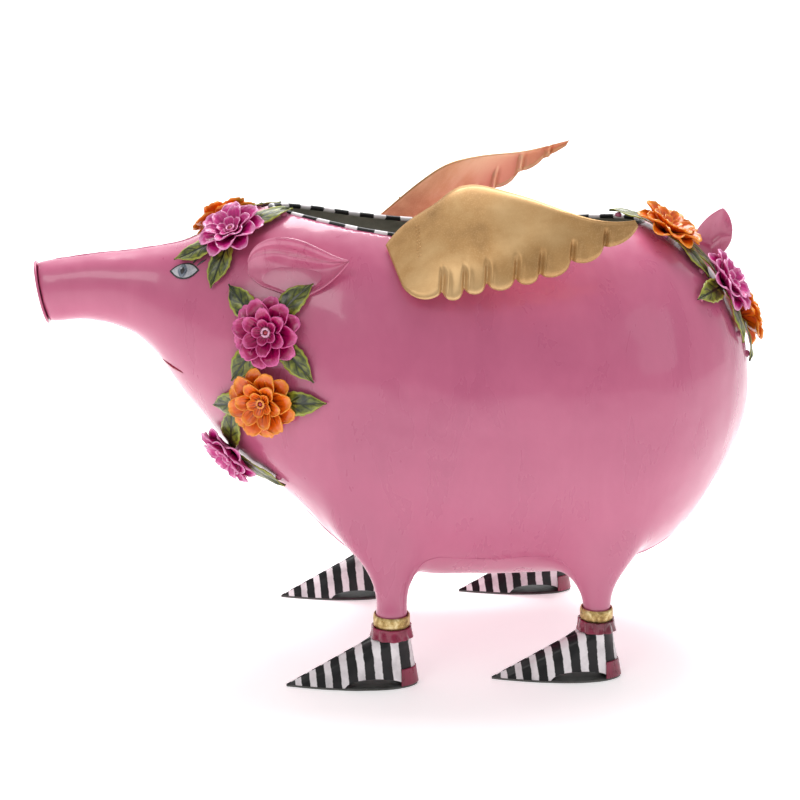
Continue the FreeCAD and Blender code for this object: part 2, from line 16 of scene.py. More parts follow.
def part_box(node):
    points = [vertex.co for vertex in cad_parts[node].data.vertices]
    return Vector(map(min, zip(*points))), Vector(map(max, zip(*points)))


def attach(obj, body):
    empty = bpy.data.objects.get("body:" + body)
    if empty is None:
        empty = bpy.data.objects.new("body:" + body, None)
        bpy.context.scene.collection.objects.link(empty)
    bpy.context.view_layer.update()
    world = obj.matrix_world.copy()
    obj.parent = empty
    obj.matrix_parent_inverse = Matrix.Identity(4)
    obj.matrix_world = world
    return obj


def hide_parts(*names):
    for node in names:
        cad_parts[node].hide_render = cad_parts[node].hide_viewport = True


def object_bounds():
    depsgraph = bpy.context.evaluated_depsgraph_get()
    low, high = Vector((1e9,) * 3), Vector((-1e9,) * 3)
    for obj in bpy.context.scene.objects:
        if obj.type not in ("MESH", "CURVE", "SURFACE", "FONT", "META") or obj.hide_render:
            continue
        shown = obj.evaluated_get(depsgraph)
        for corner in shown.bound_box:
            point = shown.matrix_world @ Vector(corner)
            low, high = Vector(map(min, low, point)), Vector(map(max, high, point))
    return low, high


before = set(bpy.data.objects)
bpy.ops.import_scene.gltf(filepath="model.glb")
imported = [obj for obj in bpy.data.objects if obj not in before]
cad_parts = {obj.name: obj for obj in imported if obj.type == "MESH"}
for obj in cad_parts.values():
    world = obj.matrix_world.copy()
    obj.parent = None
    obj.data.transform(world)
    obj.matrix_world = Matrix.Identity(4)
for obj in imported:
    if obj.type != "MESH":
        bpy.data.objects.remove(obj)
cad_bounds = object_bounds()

LOG = logging.getLogger("planter")
MM = 0.001
BODY = "root"
UP = Vector((0.0, 0.0, 1.0))
SNOUT_LEAN = math.radians(10.0)
Colour = tuple[float, float, float]
Faces = list[tuple[int, ...]]


# ------------------------------------------------------------------ small helpers
def box_of(node: str) -> tuple[Vector, Vector]:
    """The lowest and highest corners of a node, as vectors."""
    low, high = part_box(node)
    return Vector(low), Vector(high)


def cloud_of(node: str) -> np.ndarray:
    """The places of a node's vertices, one row each."""
    return np.array([tuple(vertex.co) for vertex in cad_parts[node].data.vertices])


def tree_of(mesh: bpy.types.Mesh) -> BVHTree:
    """A search tree over a mesh, for rays and nearest points."""
    vertices = [vertex.co.copy() for vertex in mesh.vertices]
    return BVHTree.FromPolygons(vertices, [tuple(face.vertices) for face in mesh.polygons])


def edge_ends(node: str) -> np.ndarray:
    """Both ends of every edge of a node."""
    return cloud_of(node)[np.array([tuple(edge.vertices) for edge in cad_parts[node].data.edges])]


def crossing_range(ends: np.ndarray, x: float, axis: int) -> tuple[float, float] | None:
    """How far edges reach along an axis where they cross a plane across X.

    Args:
        ends: Both ends of every edge.
        x: The plane's place.
        axis: 1 for Y or 2 for Z.

    Returns:
        The lowest and highest place on the axis, or None where nothing crosses.
    """
    first, last = ends[:, 0, 0], ends[:, 1, 0]
    crossing = (first - x) * (last - x) < 0
    if not crossing.any():
        return None
    share = (x - first[crossing]) / (last[crossing] - first[crossing])
    places = ends[crossing, 0, axis] + share * (ends[crossing, 1, axis] - ends[crossing, 0, axis])
    return float(places.min()), float(places.max())


def wobble(point: Vector, scale: float, seed: float = 0.0) -> float:
    """Smooth noise between about -1 and 1.

    Args:
        point: Where to read it, in metres.
        scale: The size of one bump, in metres.
        seed: Moves the pattern, so that two pieces differ.

    Returns:
        The noise at the point.
    """
    return noise.noise(point / scale + Vector((seed, 2.3 * seed, -seed)))


def smooth_step(low: float, high: float, value: float) -> float:
    """Rises from 0 at low to 1 at high with no corner at either end."""
    share = min(max((value - low) / (high - low), 0.0), 1.0)
    return share * share * (3.0 - 2.0 * share)


def grid_faces(rows: int, columns: int, closed: bool = False, flip: bool = False) -> Faces:
    """The quads of a grid of vertices.

    Args:
        rows: How many rows of vertices.
        columns: How many vertices in a row.
        closed: Joins each row's last vertex to its first.
        flip: Turns the faces over.

    Returns:
        One index tuple per quad.
    """
    faces = []
    for i in range(rows - 1):
        for j in range(columns if closed else columns - 1):
            k = (j + 1) % columns
            quad = (i * columns + j, i * columns + k, (i + 1) * columns + k, (i + 1) * columns + j)
            faces.append(quad[::-1] if flip else quad)
    return faces


def capped_faces(rings: int, sides: int, flip: bool = False) -> Faces:
    """The quads round a tube of vertices, and a cap on each end.

    Args:
        rings: How many rings of vertices.
        sides: How many vertices in a ring.
        flip: Turns the faces over.

    Returns:
        One index tuple per face.
    """
    caps = [tuple(range(sides))[::-1], tuple(range((rings - 1) * sides, rings * sides))]
    return grid_faces(rings, sides, closed=True, flip=flip) + [cap[::-1] if flip else cap for cap in caps]


@dataclass
class Draft:
    """Vertices, faces and per-vertex numbers that become one mesh."""

    vertices: list[Vector] = field(default_factory=list)
    faces: Faces = field(default_factory=list)
    finishes: list[int] = field(default_factory=list)
    marks: dict[str, list[float]] = field(default_factory=dict)

    def add(self, vertices: Sequence[Vector], faces: Faces, finish: int = 0,
            **marks: Sequence[float]) -> None:
        """Adds a patch.

        Args:
            vertices: Its points.
            faces: Index tuples counted from its own first point.
            finish: The material index of its faces.
            marks: Numbers for its points, one list for each name.
        """
        start = len(self.vertices)
        self.vertices.extend(vertices)
        self.faces.extend(tuple(start + index for index in face) for face in faces)
        self.finishes.extend([finish] * len(faces))
        for name in set(self.marks) | set(marks):
            values = self.marks.setdefault(name, [0.0] * start)
            values.extend(marks.get(name, [0.0] * len(vertices)))

    def mesh(self, name: str, finishes: Sequence[bpy.types.Material]) -> bpy.types.Mesh:
        """Makes the mesh, with its materials and marks.

        Args:
            name: The mesh's name.
            finishes: Its materials, in the order that the patches count them.

        Returns:
            The new mesh.
        """
        mesh = bpy.data.meshes.new(name)
        mesh.from_pydata([tuple(vertex) for vertex in self.vertices], [], self.faces)
        for finish in finishes:
            mesh.materials.append(finish)
        mesh.polygons.foreach_set("material_index", self.finishes)
        mesh.polygons.foreach_set("use_smooth", [True] * len(mesh.polygons))
        for mark, values in self.marks.items():
            layer = mesh.attributes.new(mark, "FLOAT", "POINT")
            layer.data.foreach_set("value", values)
        mesh.update()
        return mesh

    def show(self, name: str, finishes: Sequence[bpy.types.Material], slot: str,
             stands_for: Iterable[str] = (), thickness: float = 0.0,
             inner_finish: int = 0) -> bpy.types.Object:
        """Makes the mesh and puts it in the scene; the arguments are those of mesh and of show, and slot is
        not used.
        """
        return show(name, self.mesh(name, finishes), stands_for, thickness, inner_finish)


def apply_modifiers(piece: bpy.types.Object) -> None:
    """Turns a piece's modifiers into mesh."""
    graph = bpy.context.evaluated_depsgraph_get()
    done = bpy.data.meshes.new_from_object(piece.evaluated_get(graph))
    piece.modifiers.clear()
    piece.data = done


def show(name: str, mesh: bpy.types.Mesh, stands_for: Iterable[str] = (),
         thickness: float = 0.0, inner_finish: int = 0) -> bpy.types.Object:
    """Puts a piece in the scene, on the planter's body.

    Args:
        name: The piece's name.
        mesh: Its mesh.
        stands_for: The nodes that it replaces.
        thickness: The sheet's thickness, grown inwards, or 0 for a mesh that is already closed.
        inner_finish: How many material indices the grown side is moved on by.

    Returns:
        The new object.
    """
    piece = bpy.data.objects.new(name, mesh)
    bpy.context.scene.collection.objects.link(piece)
    if thickness:
        solid = piece.modifiers.new("sheet", "SOLIDIFY")
        solid.thickness = thickness
        solid.offset = -1.0
        solid.use_even_offset = False
        solid.material_offset = inner_finish
        apply_modifiers(piece)
    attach(piece, BODY)
    if stands_for:
        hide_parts(*stands_for)
    LOG.info("%s: %d faces", name, len(piece.data.polygons))
    return piece


def tube_rings(path: Sequence[Vector], radius: Callable[[int, float], float], sides: int,
               closed: bool) -> list[Vector]:
    """Rings of points round a path.

    Args:
        path: The points of its centre line.
        radius: Gives the radius from the ring's index and the angle.
        sides: How many points in a ring.
        closed: Whether the path's end meets its start.

    Returns:
        The points, ring after ring.
    """
    points = []
    count = len(path)
    for i, centre in enumerate(path):
        after = path[(i + 1) % count] if closed else path[min(i + 1, count - 1)]
        before = path[i - 1] if closed or i else path[0]
        tangent = (after - before).normalized()
        across = tangent.cross(UP if abs(tangent.z) < 0.9 else Vector((0, 1, 0))).normalized()
        rise = across.cross(tangent)
        for j in range(sides):
            angle = 2 * math.pi * j / sides
            points.append(centre + (across * math.cos(angle) + rise * math.sin(angle)) * radius(i, angle))
    return points


# ------------------------------------------------------------------ finishes
class Canvas:
    """A material's node tree, with short calls for the nodes that the finishes use."""

    def __init__(self, name: str) -> None:
        """Starts a material with one principled shader."""
        self.material = bpy.data.materials.new(name)
        self.material.use_nodes = True
        self.nodes = self.material.node_tree.nodes
        self.links = self.material.node_tree.links
        self.shader = self.nodes["Principled BSDF"]
        self.place = self.nodes.new("ShaderNodeTexCoord").outputs["Object"]

    def wire(self, socket: bpy.types.NodeSocket, value: object) -> None:
        """Sets a socket to a number or colour, or links it to an output."""
        if isinstance(value, bpy.types.NodeSocket):
            self.links.new(value, socket)
        elif isinstance(value, tuple) and len(value) == 3 and socket.type == "RGBA":
            socket.default_value = (*value, 1.0)
        else:
            socket.default_value = value

    def set(self, **inputs: object) -> None:
        """Sets the shader's inputs, named with underscores for spaces."""
        for name, value in inputs.items():
            self.wire(self.shader.inputs[name.replace("_", " ")], value)

    def mark(self, name: str) -> bpy.types.NodeSocket:
        """A number stored on the mesh's points."""
        node = self.nodes.new("ShaderNodeAttribute")
        node.attribute_name = name
        return node.outputs["Fac"]

    def noise(self, scale: float, detail: float = 2.0, rough: float = 0.5, stretch: Colour = (1, 1, 1),
              distort: float = 0.0) -> bpy.types.NodeSocket:
        """Noise over the object's own space.

        Args:
            scale: Bumps per metre.
            detail: Octaves of finer noise.
            rough: How strong the finer octaves are.
            stretch: Factors on the three axes.
            distort: How much the pattern is twisted.

        Returns:
            The noise's value.
        """
        mapping = self.nodes.new("ShaderNodeMapping")
        mapping.inputs["Scale"].default_value = stretch
        self.links.new(self.place, mapping.inputs["Vector"])
        node = self.nodes.new("ShaderNodeTexNoise")
        self.links.new(mapping.outputs[0], node.inputs["Vector"])
        inputs = {"Scale": scale, "Detail": detail, "Roughness": rough, "Distortion": distort}
        for name, value in inputs.items():
            node.inputs[name].default_value = value
        return node.outputs["Fac"]

    def speckle(self, scale: float) -> bpy.types.NodeSocket:
        """Distance to the nearest of scattered points, in cells."""
        node = self.nodes.new("ShaderNodeTexVoronoi")
        self.links.new(self.place, node.inputs["Vector"])
        node.inputs["Scale"].default_value = scale
        return node.outputs["Distance"]

    def ramp(self, value: object, stops: Sequence[tuple[float, Colour]]) -> bpy.types.NodeSocket:
        """Turns a number into a colour.

        Args:
            value: The number.
            stops: Places and their colours.

        Returns:
            The colour.
        """
        node = self.nodes.new("ShaderNodeValToRGB")
        self.wire(node.inputs["Fac"], value)
        band = node.color_ramp
        band.interpolation = "LINEAR"
        while len(band.elements) < len(stops):
            band.elements.new(1.0)
        for element, (place, colour) in zip(band.elements, stops):
            element.position = place
            element.color = (*colour, 1.0)
        return node.outputs["Color"]

    def mix(self, share: object, low: object, high: object) -> bpy.types.NodeSocket:
        """Mixes two colours.

        Args:
            share: How much of the second.
            low: The first colour.
            high: The second colour.

        Returns:
            The mixed colour.
        """
        node = self.nodes.new("ShaderNodeMix")
        node.data_type = "RGBA"
        node.blend_type = "MIX"
        self.wire(node.inputs["Factor"], share)
        self.wire(node.inputs[6], low)
        self.wire(node.inputs[7], high)
        return node.outputs[2]

    def math(self, way: str, first: object, second: object = 0.0,
             third: object = 0.0) -> bpy.types.NodeSocket:
        """One step of arithmetic on numbers.

        Args:
            way: Blender's name for the step.
            first: The first number.
            second: The second number.
            third: The third number, which only some steps read.

        Returns:
            The result.
        """
        node = self.nodes.new("ShaderNodeMath")
        node.operation = way
        for socket, value in zip(node.inputs, (first, second, third)):
            self.wire(socket, value)
        return node.outputs[0]

    def between(self, value: object, low: float, high: float, start: float = 0.0,
                end: float = 1.0) -> bpy.types.NodeSocket:
        """Maps a range of numbers to another smoothly, and holds it outside.

        Args:
            value: The number.
            low: Where the range starts.
            high: Where it ends.
            start: The result at low.
            end: The result at high.

        Returns:
            The mapped number.
        """
        node = self.nodes.new("ShaderNodeMapRange")
        node.interpolation_type = "SMOOTHSTEP"
        for socket, number in zip(node.inputs, (value, low, high, start, end)):
            self.wire(socket, number)
        return node.outputs[0]

    def emboss(self, height: object, depth: float, strength: float = 1.0) -> None:
        """Bumps the surface by a height; depth is in metres."""
        node = self.nodes.new("ShaderNodeBump")
        node.inputs["Strength"].default_value = strength
        node.inputs["Distance"].default_value = depth
        self.wire(node.inputs["Height"], height)
        self.wire(self.shader.inputs["Normal"], node.outputs[0])


@dataclass(frozen=True)
class BrushedPaint:
    """Gloss paint put on with a brush: one colour that drifts, over a slightly uneven sheet."""

    name: str
    base: Colour
    deep: Colour
    pale: Colour
    rough: float = 0.3
    coat: float = 0.5
    grain: float = 26.0
    relief: float = 0.0004

    def make(self) -> bpy.types.Material:
        """Builds the material."""
        canvas = Canvas(self.name)
        drift = canvas.noise(self.grain * 0.3, 3.0, 0.55)
        strokes = canvas.noise(self.grain * 3.0, 4.0, 0.6, (1.0, 1.0, 0.35), 0.4)
        tone = canvas.math("MULTIPLY_ADD", strokes, 0.3, canvas.math("MULTIPLY", drift, 0.7))
        colour = canvas.ramp(tone, [(0.36, self.deep), (0.5, self.base), (0.66, self.pale)])
        specks = canvas.between(canvas.speckle(self.grain * 9.0), 0.03, 0.08)
        colour = canvas.mix(specks, canvas.mix(0.35, colour, self.deep), colour)
        canvas.set(Base_Color=colour, Coat_Weight=self.coat, Coat_Roughness=0.1,
                   Roughness=canvas.between(strokes, 0.3, 0.7, self.rough - 0.06, self.rough + 0.08))
        height = canvas.math("MULTIPLY_ADD", strokes, 0.35, canvas.noise(self.grain * 1.6, 2.0))
        canvas.emboss(height, self.relief)
        return canvas.material


@dataclass(frozen=True)
class DullSheet:
    """Zinc-coated sheet that was never painted, with spangle, streaks and weld stains."""

    name: str
    base: Colour = (0.46, 0.45, 0.40)
    dark: Colour = (0.26, 0.255, 0.22)
    pale: Colour = (0.62, 0.61, 0.56)

    def make(self) -> bpy.types.Material:
        """Builds the material."""
        canvas = Canvas(self.name)
        stain = canvas.noise(9.0, 5.0, 0.65, (1, 1, 0.5), 0.6)
        spangle = canvas.speckle(150.0)
        colour = canvas.ramp(stain, [(0.34, self.dark), (0.52, self.base), (0.70, self.pale)])
        colour = canvas.mix(canvas.math("MULTIPLY", spangle, 0.35), colour, self.pale)
        canvas.set(Base_Color=colour, Metallic=0.2, Roughness=canvas.between(stain, 0.3, 0.7, 0.42, 0.6))
        canvas.emboss(canvas.noise(60.0, 3.0), 0.0005, 0.7)
        return canvas.material


class Stripe(Enum):
    """Which hand-painted stripes a piece carries: the share of dark paint and the wander of the edges."""

    RIM = (0.55, 0.10)
    SHOE = (0.56, 0.07)


@dataclass(frozen=True)
class StripedPaint:
    """Black and white bands painted by hand along the mesh's own stripe mark."""

    name: str
    kind: Stripe
    light: Colour = (0.88, 0.84, 0.86)
    dark: Colour = (0.004, 0.004, 0.005)

    def make(self) -> bpy.types.Material:
        """Builds the material."""
        canvas = Canvas(self.name)
        dark_share, wander = self.kind.value
        edge = canvas.math("MULTIPLY_ADD", canvas.noise(120.0, 3.0, 0.6), wander * 2, -wander)
        band = canvas.math("FRACT", canvas.math("ADD", canvas.mark("stripe"), edge))
        rise = canvas.between(band, 0.0, 0.035)
        fall = canvas.between(band, dark_share, dark_share + 0.035, 1.0, 0.0)
        ink = canvas.math("MULTIPLY", rise, fall)
        light = canvas.ramp(canvas.noise(35.0, 4.0, 0.6),
                            [(0.3, tuple(0.66 * c for c in self.light)), (0.55, self.light)])
        worn = tuple(c + 0.006 for c in self.dark)
        dark = canvas.ramp(canvas.noise(70.0, 3.0), [(0.4, self.dark), (0.75, worn)])
        canvas.set(Base_Color=canvas.mix(ink, light, dark), Coat_Weight=0.15, Coat_Roughness=0.2,
                   Specular_IOR_Level=0.3, Roughness=canvas.between(ink, 0.0, 1.0, 0.42, 0.36))
        canvas.emboss(canvas.math("MULTIPLY_ADD", ink, 0.5, canvas.noise(90.0, 3.0)), 0.0003)
        return canvas.material


@dataclass(frozen=True)
class GoldPaint:
    """Satin gold paint with a fine metal grain and brush drift."""

    name: str
    base: Colour
    deep: Colour
    pale: Colour
    metal: float = 0.75
    rough: float = 0.42
    mottle: float = 14.0

    def make(self) -> bpy.types.Material:
        """Builds the material."""
        canvas = Canvas(self.name)
        drift = canvas.noise(self.mottle, 4.0, 0.6, (1, 1, 1), 0.3)
        grain = canvas.noise(700.0, 2.0, 0.7)
        colour = canvas.ramp(drift, [(0.32, self.deep), (0.5, self.base), (0.68, self.pale)])
        colour = canvas.mix(canvas.between(grain, 0.45, 0.75, 0.0, 0.35), colour, self.pale)
        canvas.set(Base_Color=colour, Metallic=self.metal,
                   Roughness=canvas.between(drift, 0.3, 0.7, self.rough + 0.08, self.rough - 0.06))
        canvas.emboss(canvas.math("MULTIPLY_ADD", grain, 0.15, canvas.noise(45.0, 3.0)), 0.0004, 0.8)
        return canvas.material


@dataclass(frozen=True)
class PetalPaint:
    """Petals with streaks from the hub and a pale rim, along the marks radial and across."""

    name: str
    heart: Colour
    base: Colour
    rim: Colour
    streak: Colour

    def make(self) -> bpy.types.Material:
        """Builds the material."""
        canvas = Canvas(self.name)
        radial, across = canvas.mark("radial"), canvas.mark("across")
        ripple = canvas.math("MULTIPLY_ADD", canvas.noise(160.0, 3.0, 0.6), 0.30, -0.15)
        depth = canvas.math("ADD", radial, ripple)
        colour = canvas.ramp(depth, [(0.12, self.heart), (0.42, self.base), (0.80, self.base),
                                     (0.97, self.rim)])
        wander = canvas.math("MULTIPLY", ripple, 9.0)
        comb = canvas.math("SINE", canvas.math("MULTIPLY_ADD", across, 13.0, wander))
        fade = canvas.between(depth, 0.25, 0.9, 1.0, 0.0)
        streaks = canvas.math("MULTIPLY", canvas.between(comb, 0.1, 0.95),
                              canvas.math("MULTIPLY", fade, 0.95))
        colour = canvas.mix(streaks, colour, self.streak)
        side = canvas.between(canvas.math("ADD", canvas.math("ABSOLUTE", across), ripple), 0.78, 1.0)
        colour = canvas.mix(canvas.math("MULTIPLY", side, 0.7), colour, self.rim)
        canvas.set(Base_Color=colour, Roughness=0.34, Coat_Weight=0.35, Coat_Roughness=0.15)
        canvas.emboss(canvas.math("MULTIPLY_ADD", comb, 0.25, canvas.noise(120.0, 3.0)), 0.0005, 0.8)
        return canvas.material


@dataclass(frozen=True)
class LeafPaint:
    """Green leaves with dark veins and yellow-green edges, along the marks radial and across."""

    name: str
    base: Colour = (0.095, 0.115, 0.010)
    dark: Colour = (0.010, 0.018, 0.003)
    edge: Colour = (0.33, 0.35, 0.035)

    def make(self) -> bpy.types.Material:
        """Builds the material."""
        canvas = Canvas(self.name)
        radial, across = canvas.mark("radial"), canvas.mark("across")
        drift = canvas.noise(90.0, 4.0, 0.6)
        side = canvas.math("ABSOLUTE", across)
        colour = canvas.ramp(drift, [(0.35, self.dark), (0.5, self.base), (0.72, self.edge)])
        wave = canvas.math("MULTIPLY_ADD", drift, 1.2, canvas.math("MULTIPLY_ADD", radial, 34.0,
                                                                 canvas.math("MULTIPLY", side, -9.0)))
        veins = canvas.between(canvas.math("SINE", wave), 0.45, 0.95)
        rib = canvas.between(side, 0.05, 0.16, 1.0, 0.0)
        veins = canvas.math("MULTIPLY", veins, canvas.between(side, 0.5, 0.85, 0.8, 0.0))
        ink = canvas.math("MAXIMUM", rib, veins)
        colour = canvas.mix(ink, colour, self.dark)
        fringe = canvas.between(canvas.math("MULTIPLY_ADD", drift, 0.35, side), 0.92, 1.06)
        colour = canvas.mix(fringe, colour, self.edge)
        canvas.set(Base_Color=colour, Roughness=0.36, Coat_Weight=0.35, Coat_Roughness=0.15)
        canvas.emboss(canvas.math("MULTIPLY_ADD", ink, -0.6, drift), 0.0006, 0.8)
        return canvas.material


class Palette:
    """Every finish of the planter, made once."""

    def __init__(self) -> None:
        """Makes the materials."""
        self.pink = BrushedPaint(
            "pink_paint", (0.54, 0.118, 0.228), (0.48, 0.098, 0.200), (0.60, 0.150, 0.265), grain=9.0).make()
        self.ear_pink = BrushedPaint(
            "ear_paint", (0.56, 0.125, 0.235), (0.43, 0.075, 0.165), (0.66, 0.20, 0.32), grain=30.0).make()
        self.magenta = BrushedPaint(
            "magenta_paint", (0.25, 0.001, 0.040), (0.11, 0.0, 0.014), (0.38, 0.006, 0.085),
            grain=60.0).make()
        self.lip_red = BrushedPaint(
            "lip_paint", (0.45, 0.03, 0.06), (0.25, 0.01, 0.03), (0.6, 0.1, 0.12), grain=120.0).make()
        self.inside = DullSheet("bare_inside").make()
        # The sole and the inside of the shoe upper: the bare sheet darkened nearly to black as painted shade
        # under and inside the shoe.
        self.sole = DullSheet(
            "bare_sole_painted_shade", (0.085, 0.085, 0.08), (0.035, 0.035, 0.033), (0.17, 0.17, 0.16)).make()
        self.rim = StripedPaint("banded_rim", Stripe.RIM).make()
        self.shoe = StripedPaint("striped_shoe", Stripe.SHOE).make()
        self.gold = GoldPaint(
            "wing_gold", (0.50, 0.28, 0.105), (0.27, 0.14, 0.045), (0.70, 0.46, 0.22),
            metal=0.45, rough=0.40, mottle=9.0).make()
        # The wings' inner faces: the same gold made lighter and peach-pink as a painted reflection of the pink
        # body.
        self.pink_reflection_gold = GoldPaint(
            "wing_inner_gold_painted_reflection", (0.80, 0.42, 0.20), (0.66, 0.28, 0.12), (0.90, 0.58, 0.34),
            metal=0.35, rough=0.5).make()
        self.anklet = GoldPaint(
            "anklet_gold", (0.50, 0.34, 0.12), (0.20, 0.10, 0.03), (0.80, 0.66, 0.36), mottle=160.0).make()
        self.leaf = LeafPaint("leaf_paint").make()
        self.orange_petal = PetalPaint(
            "orange_petal", (0.26, 0.020, 0.002), (0.80, 0.130, 0.002), (0.95, 0.32, 0.020),
            (0.22, 0.014, 0.003)).make()
        self.magenta_petal = PetalPaint(
            "magenta_petal", (0.13, 0.0, 0.025), (0.42, 0.002, 0.105), (0.74, 0.12, 0.36),
            (0.10, 0.0, 0.022)).make()
        self.violet_petal = PetalPaint(
            "violet_petal", (0.26, 0.001, 0.07), (0.58, 0.014, 0.22), (0.86, 0.32, 0.58),
            (0.24, 0.004, 0.09)).make()
        self.bead_orange = BrushedPaint(
            "orange_bead", (0.85, 0.25, 0.02), (0.5, 0.08, 0.01), (0.95, 0.45, 0.08), grain=150.0).make()
        self.bead_pink = BrushedPaint(
            "pink_bead", (0.78, 0.25, 0.50), (0.45, 0.05, 0.2), (0.92, 0.55, 0.72), grain=150.0).make()
        self.eye_white = BrushedPaint(
            "eye_grey", (0.50, 0.50, 0.54), (0.34, 0.34, 0.38), (0.66, 0.66, 0.70), grain=200.0).make()
        self.eye_dark = BrushedPaint(
            "eye_dark", (0.03, 0.028, 0.03), (0.012, 0.012, 0.012), (0.07, 0.07, 0.08), grain=200.0).make()
        self.eye_iris = BrushedPaint(
            "eye_iris", (0.16, 0.19, 0.24), (0.07, 0.08, 0.11), (0.30, 0.34, 0.40), grain=300.0).make()


# ------------------------------------------------------------------ painted body
class Skin:
    """The painted outer surface, which other pieces are seated on by rays."""

    def __init__(self, mesh: bpy.types.Mesh) -> None:
        """Reads the surface from a mesh."""
        self.tree = tree_of(mesh)

    def nearest(self, point: Vector) -> tuple[Vector, Vector]:
        """The nearest point of the surface and its outward normal."""
        foot, normal, _, _ = self.tree.find_nearest(point)
        return foot, normal

    def hit(self, start: Vector, direction: Vector) -> tuple[Vector, Vector] | None:
        """The first point met from start along a direction, with its normal, or None."""
        foot, normal, _, _ = self.tree.ray_cast(start, direction.normalized())
        return (foot, normal) if foot else None


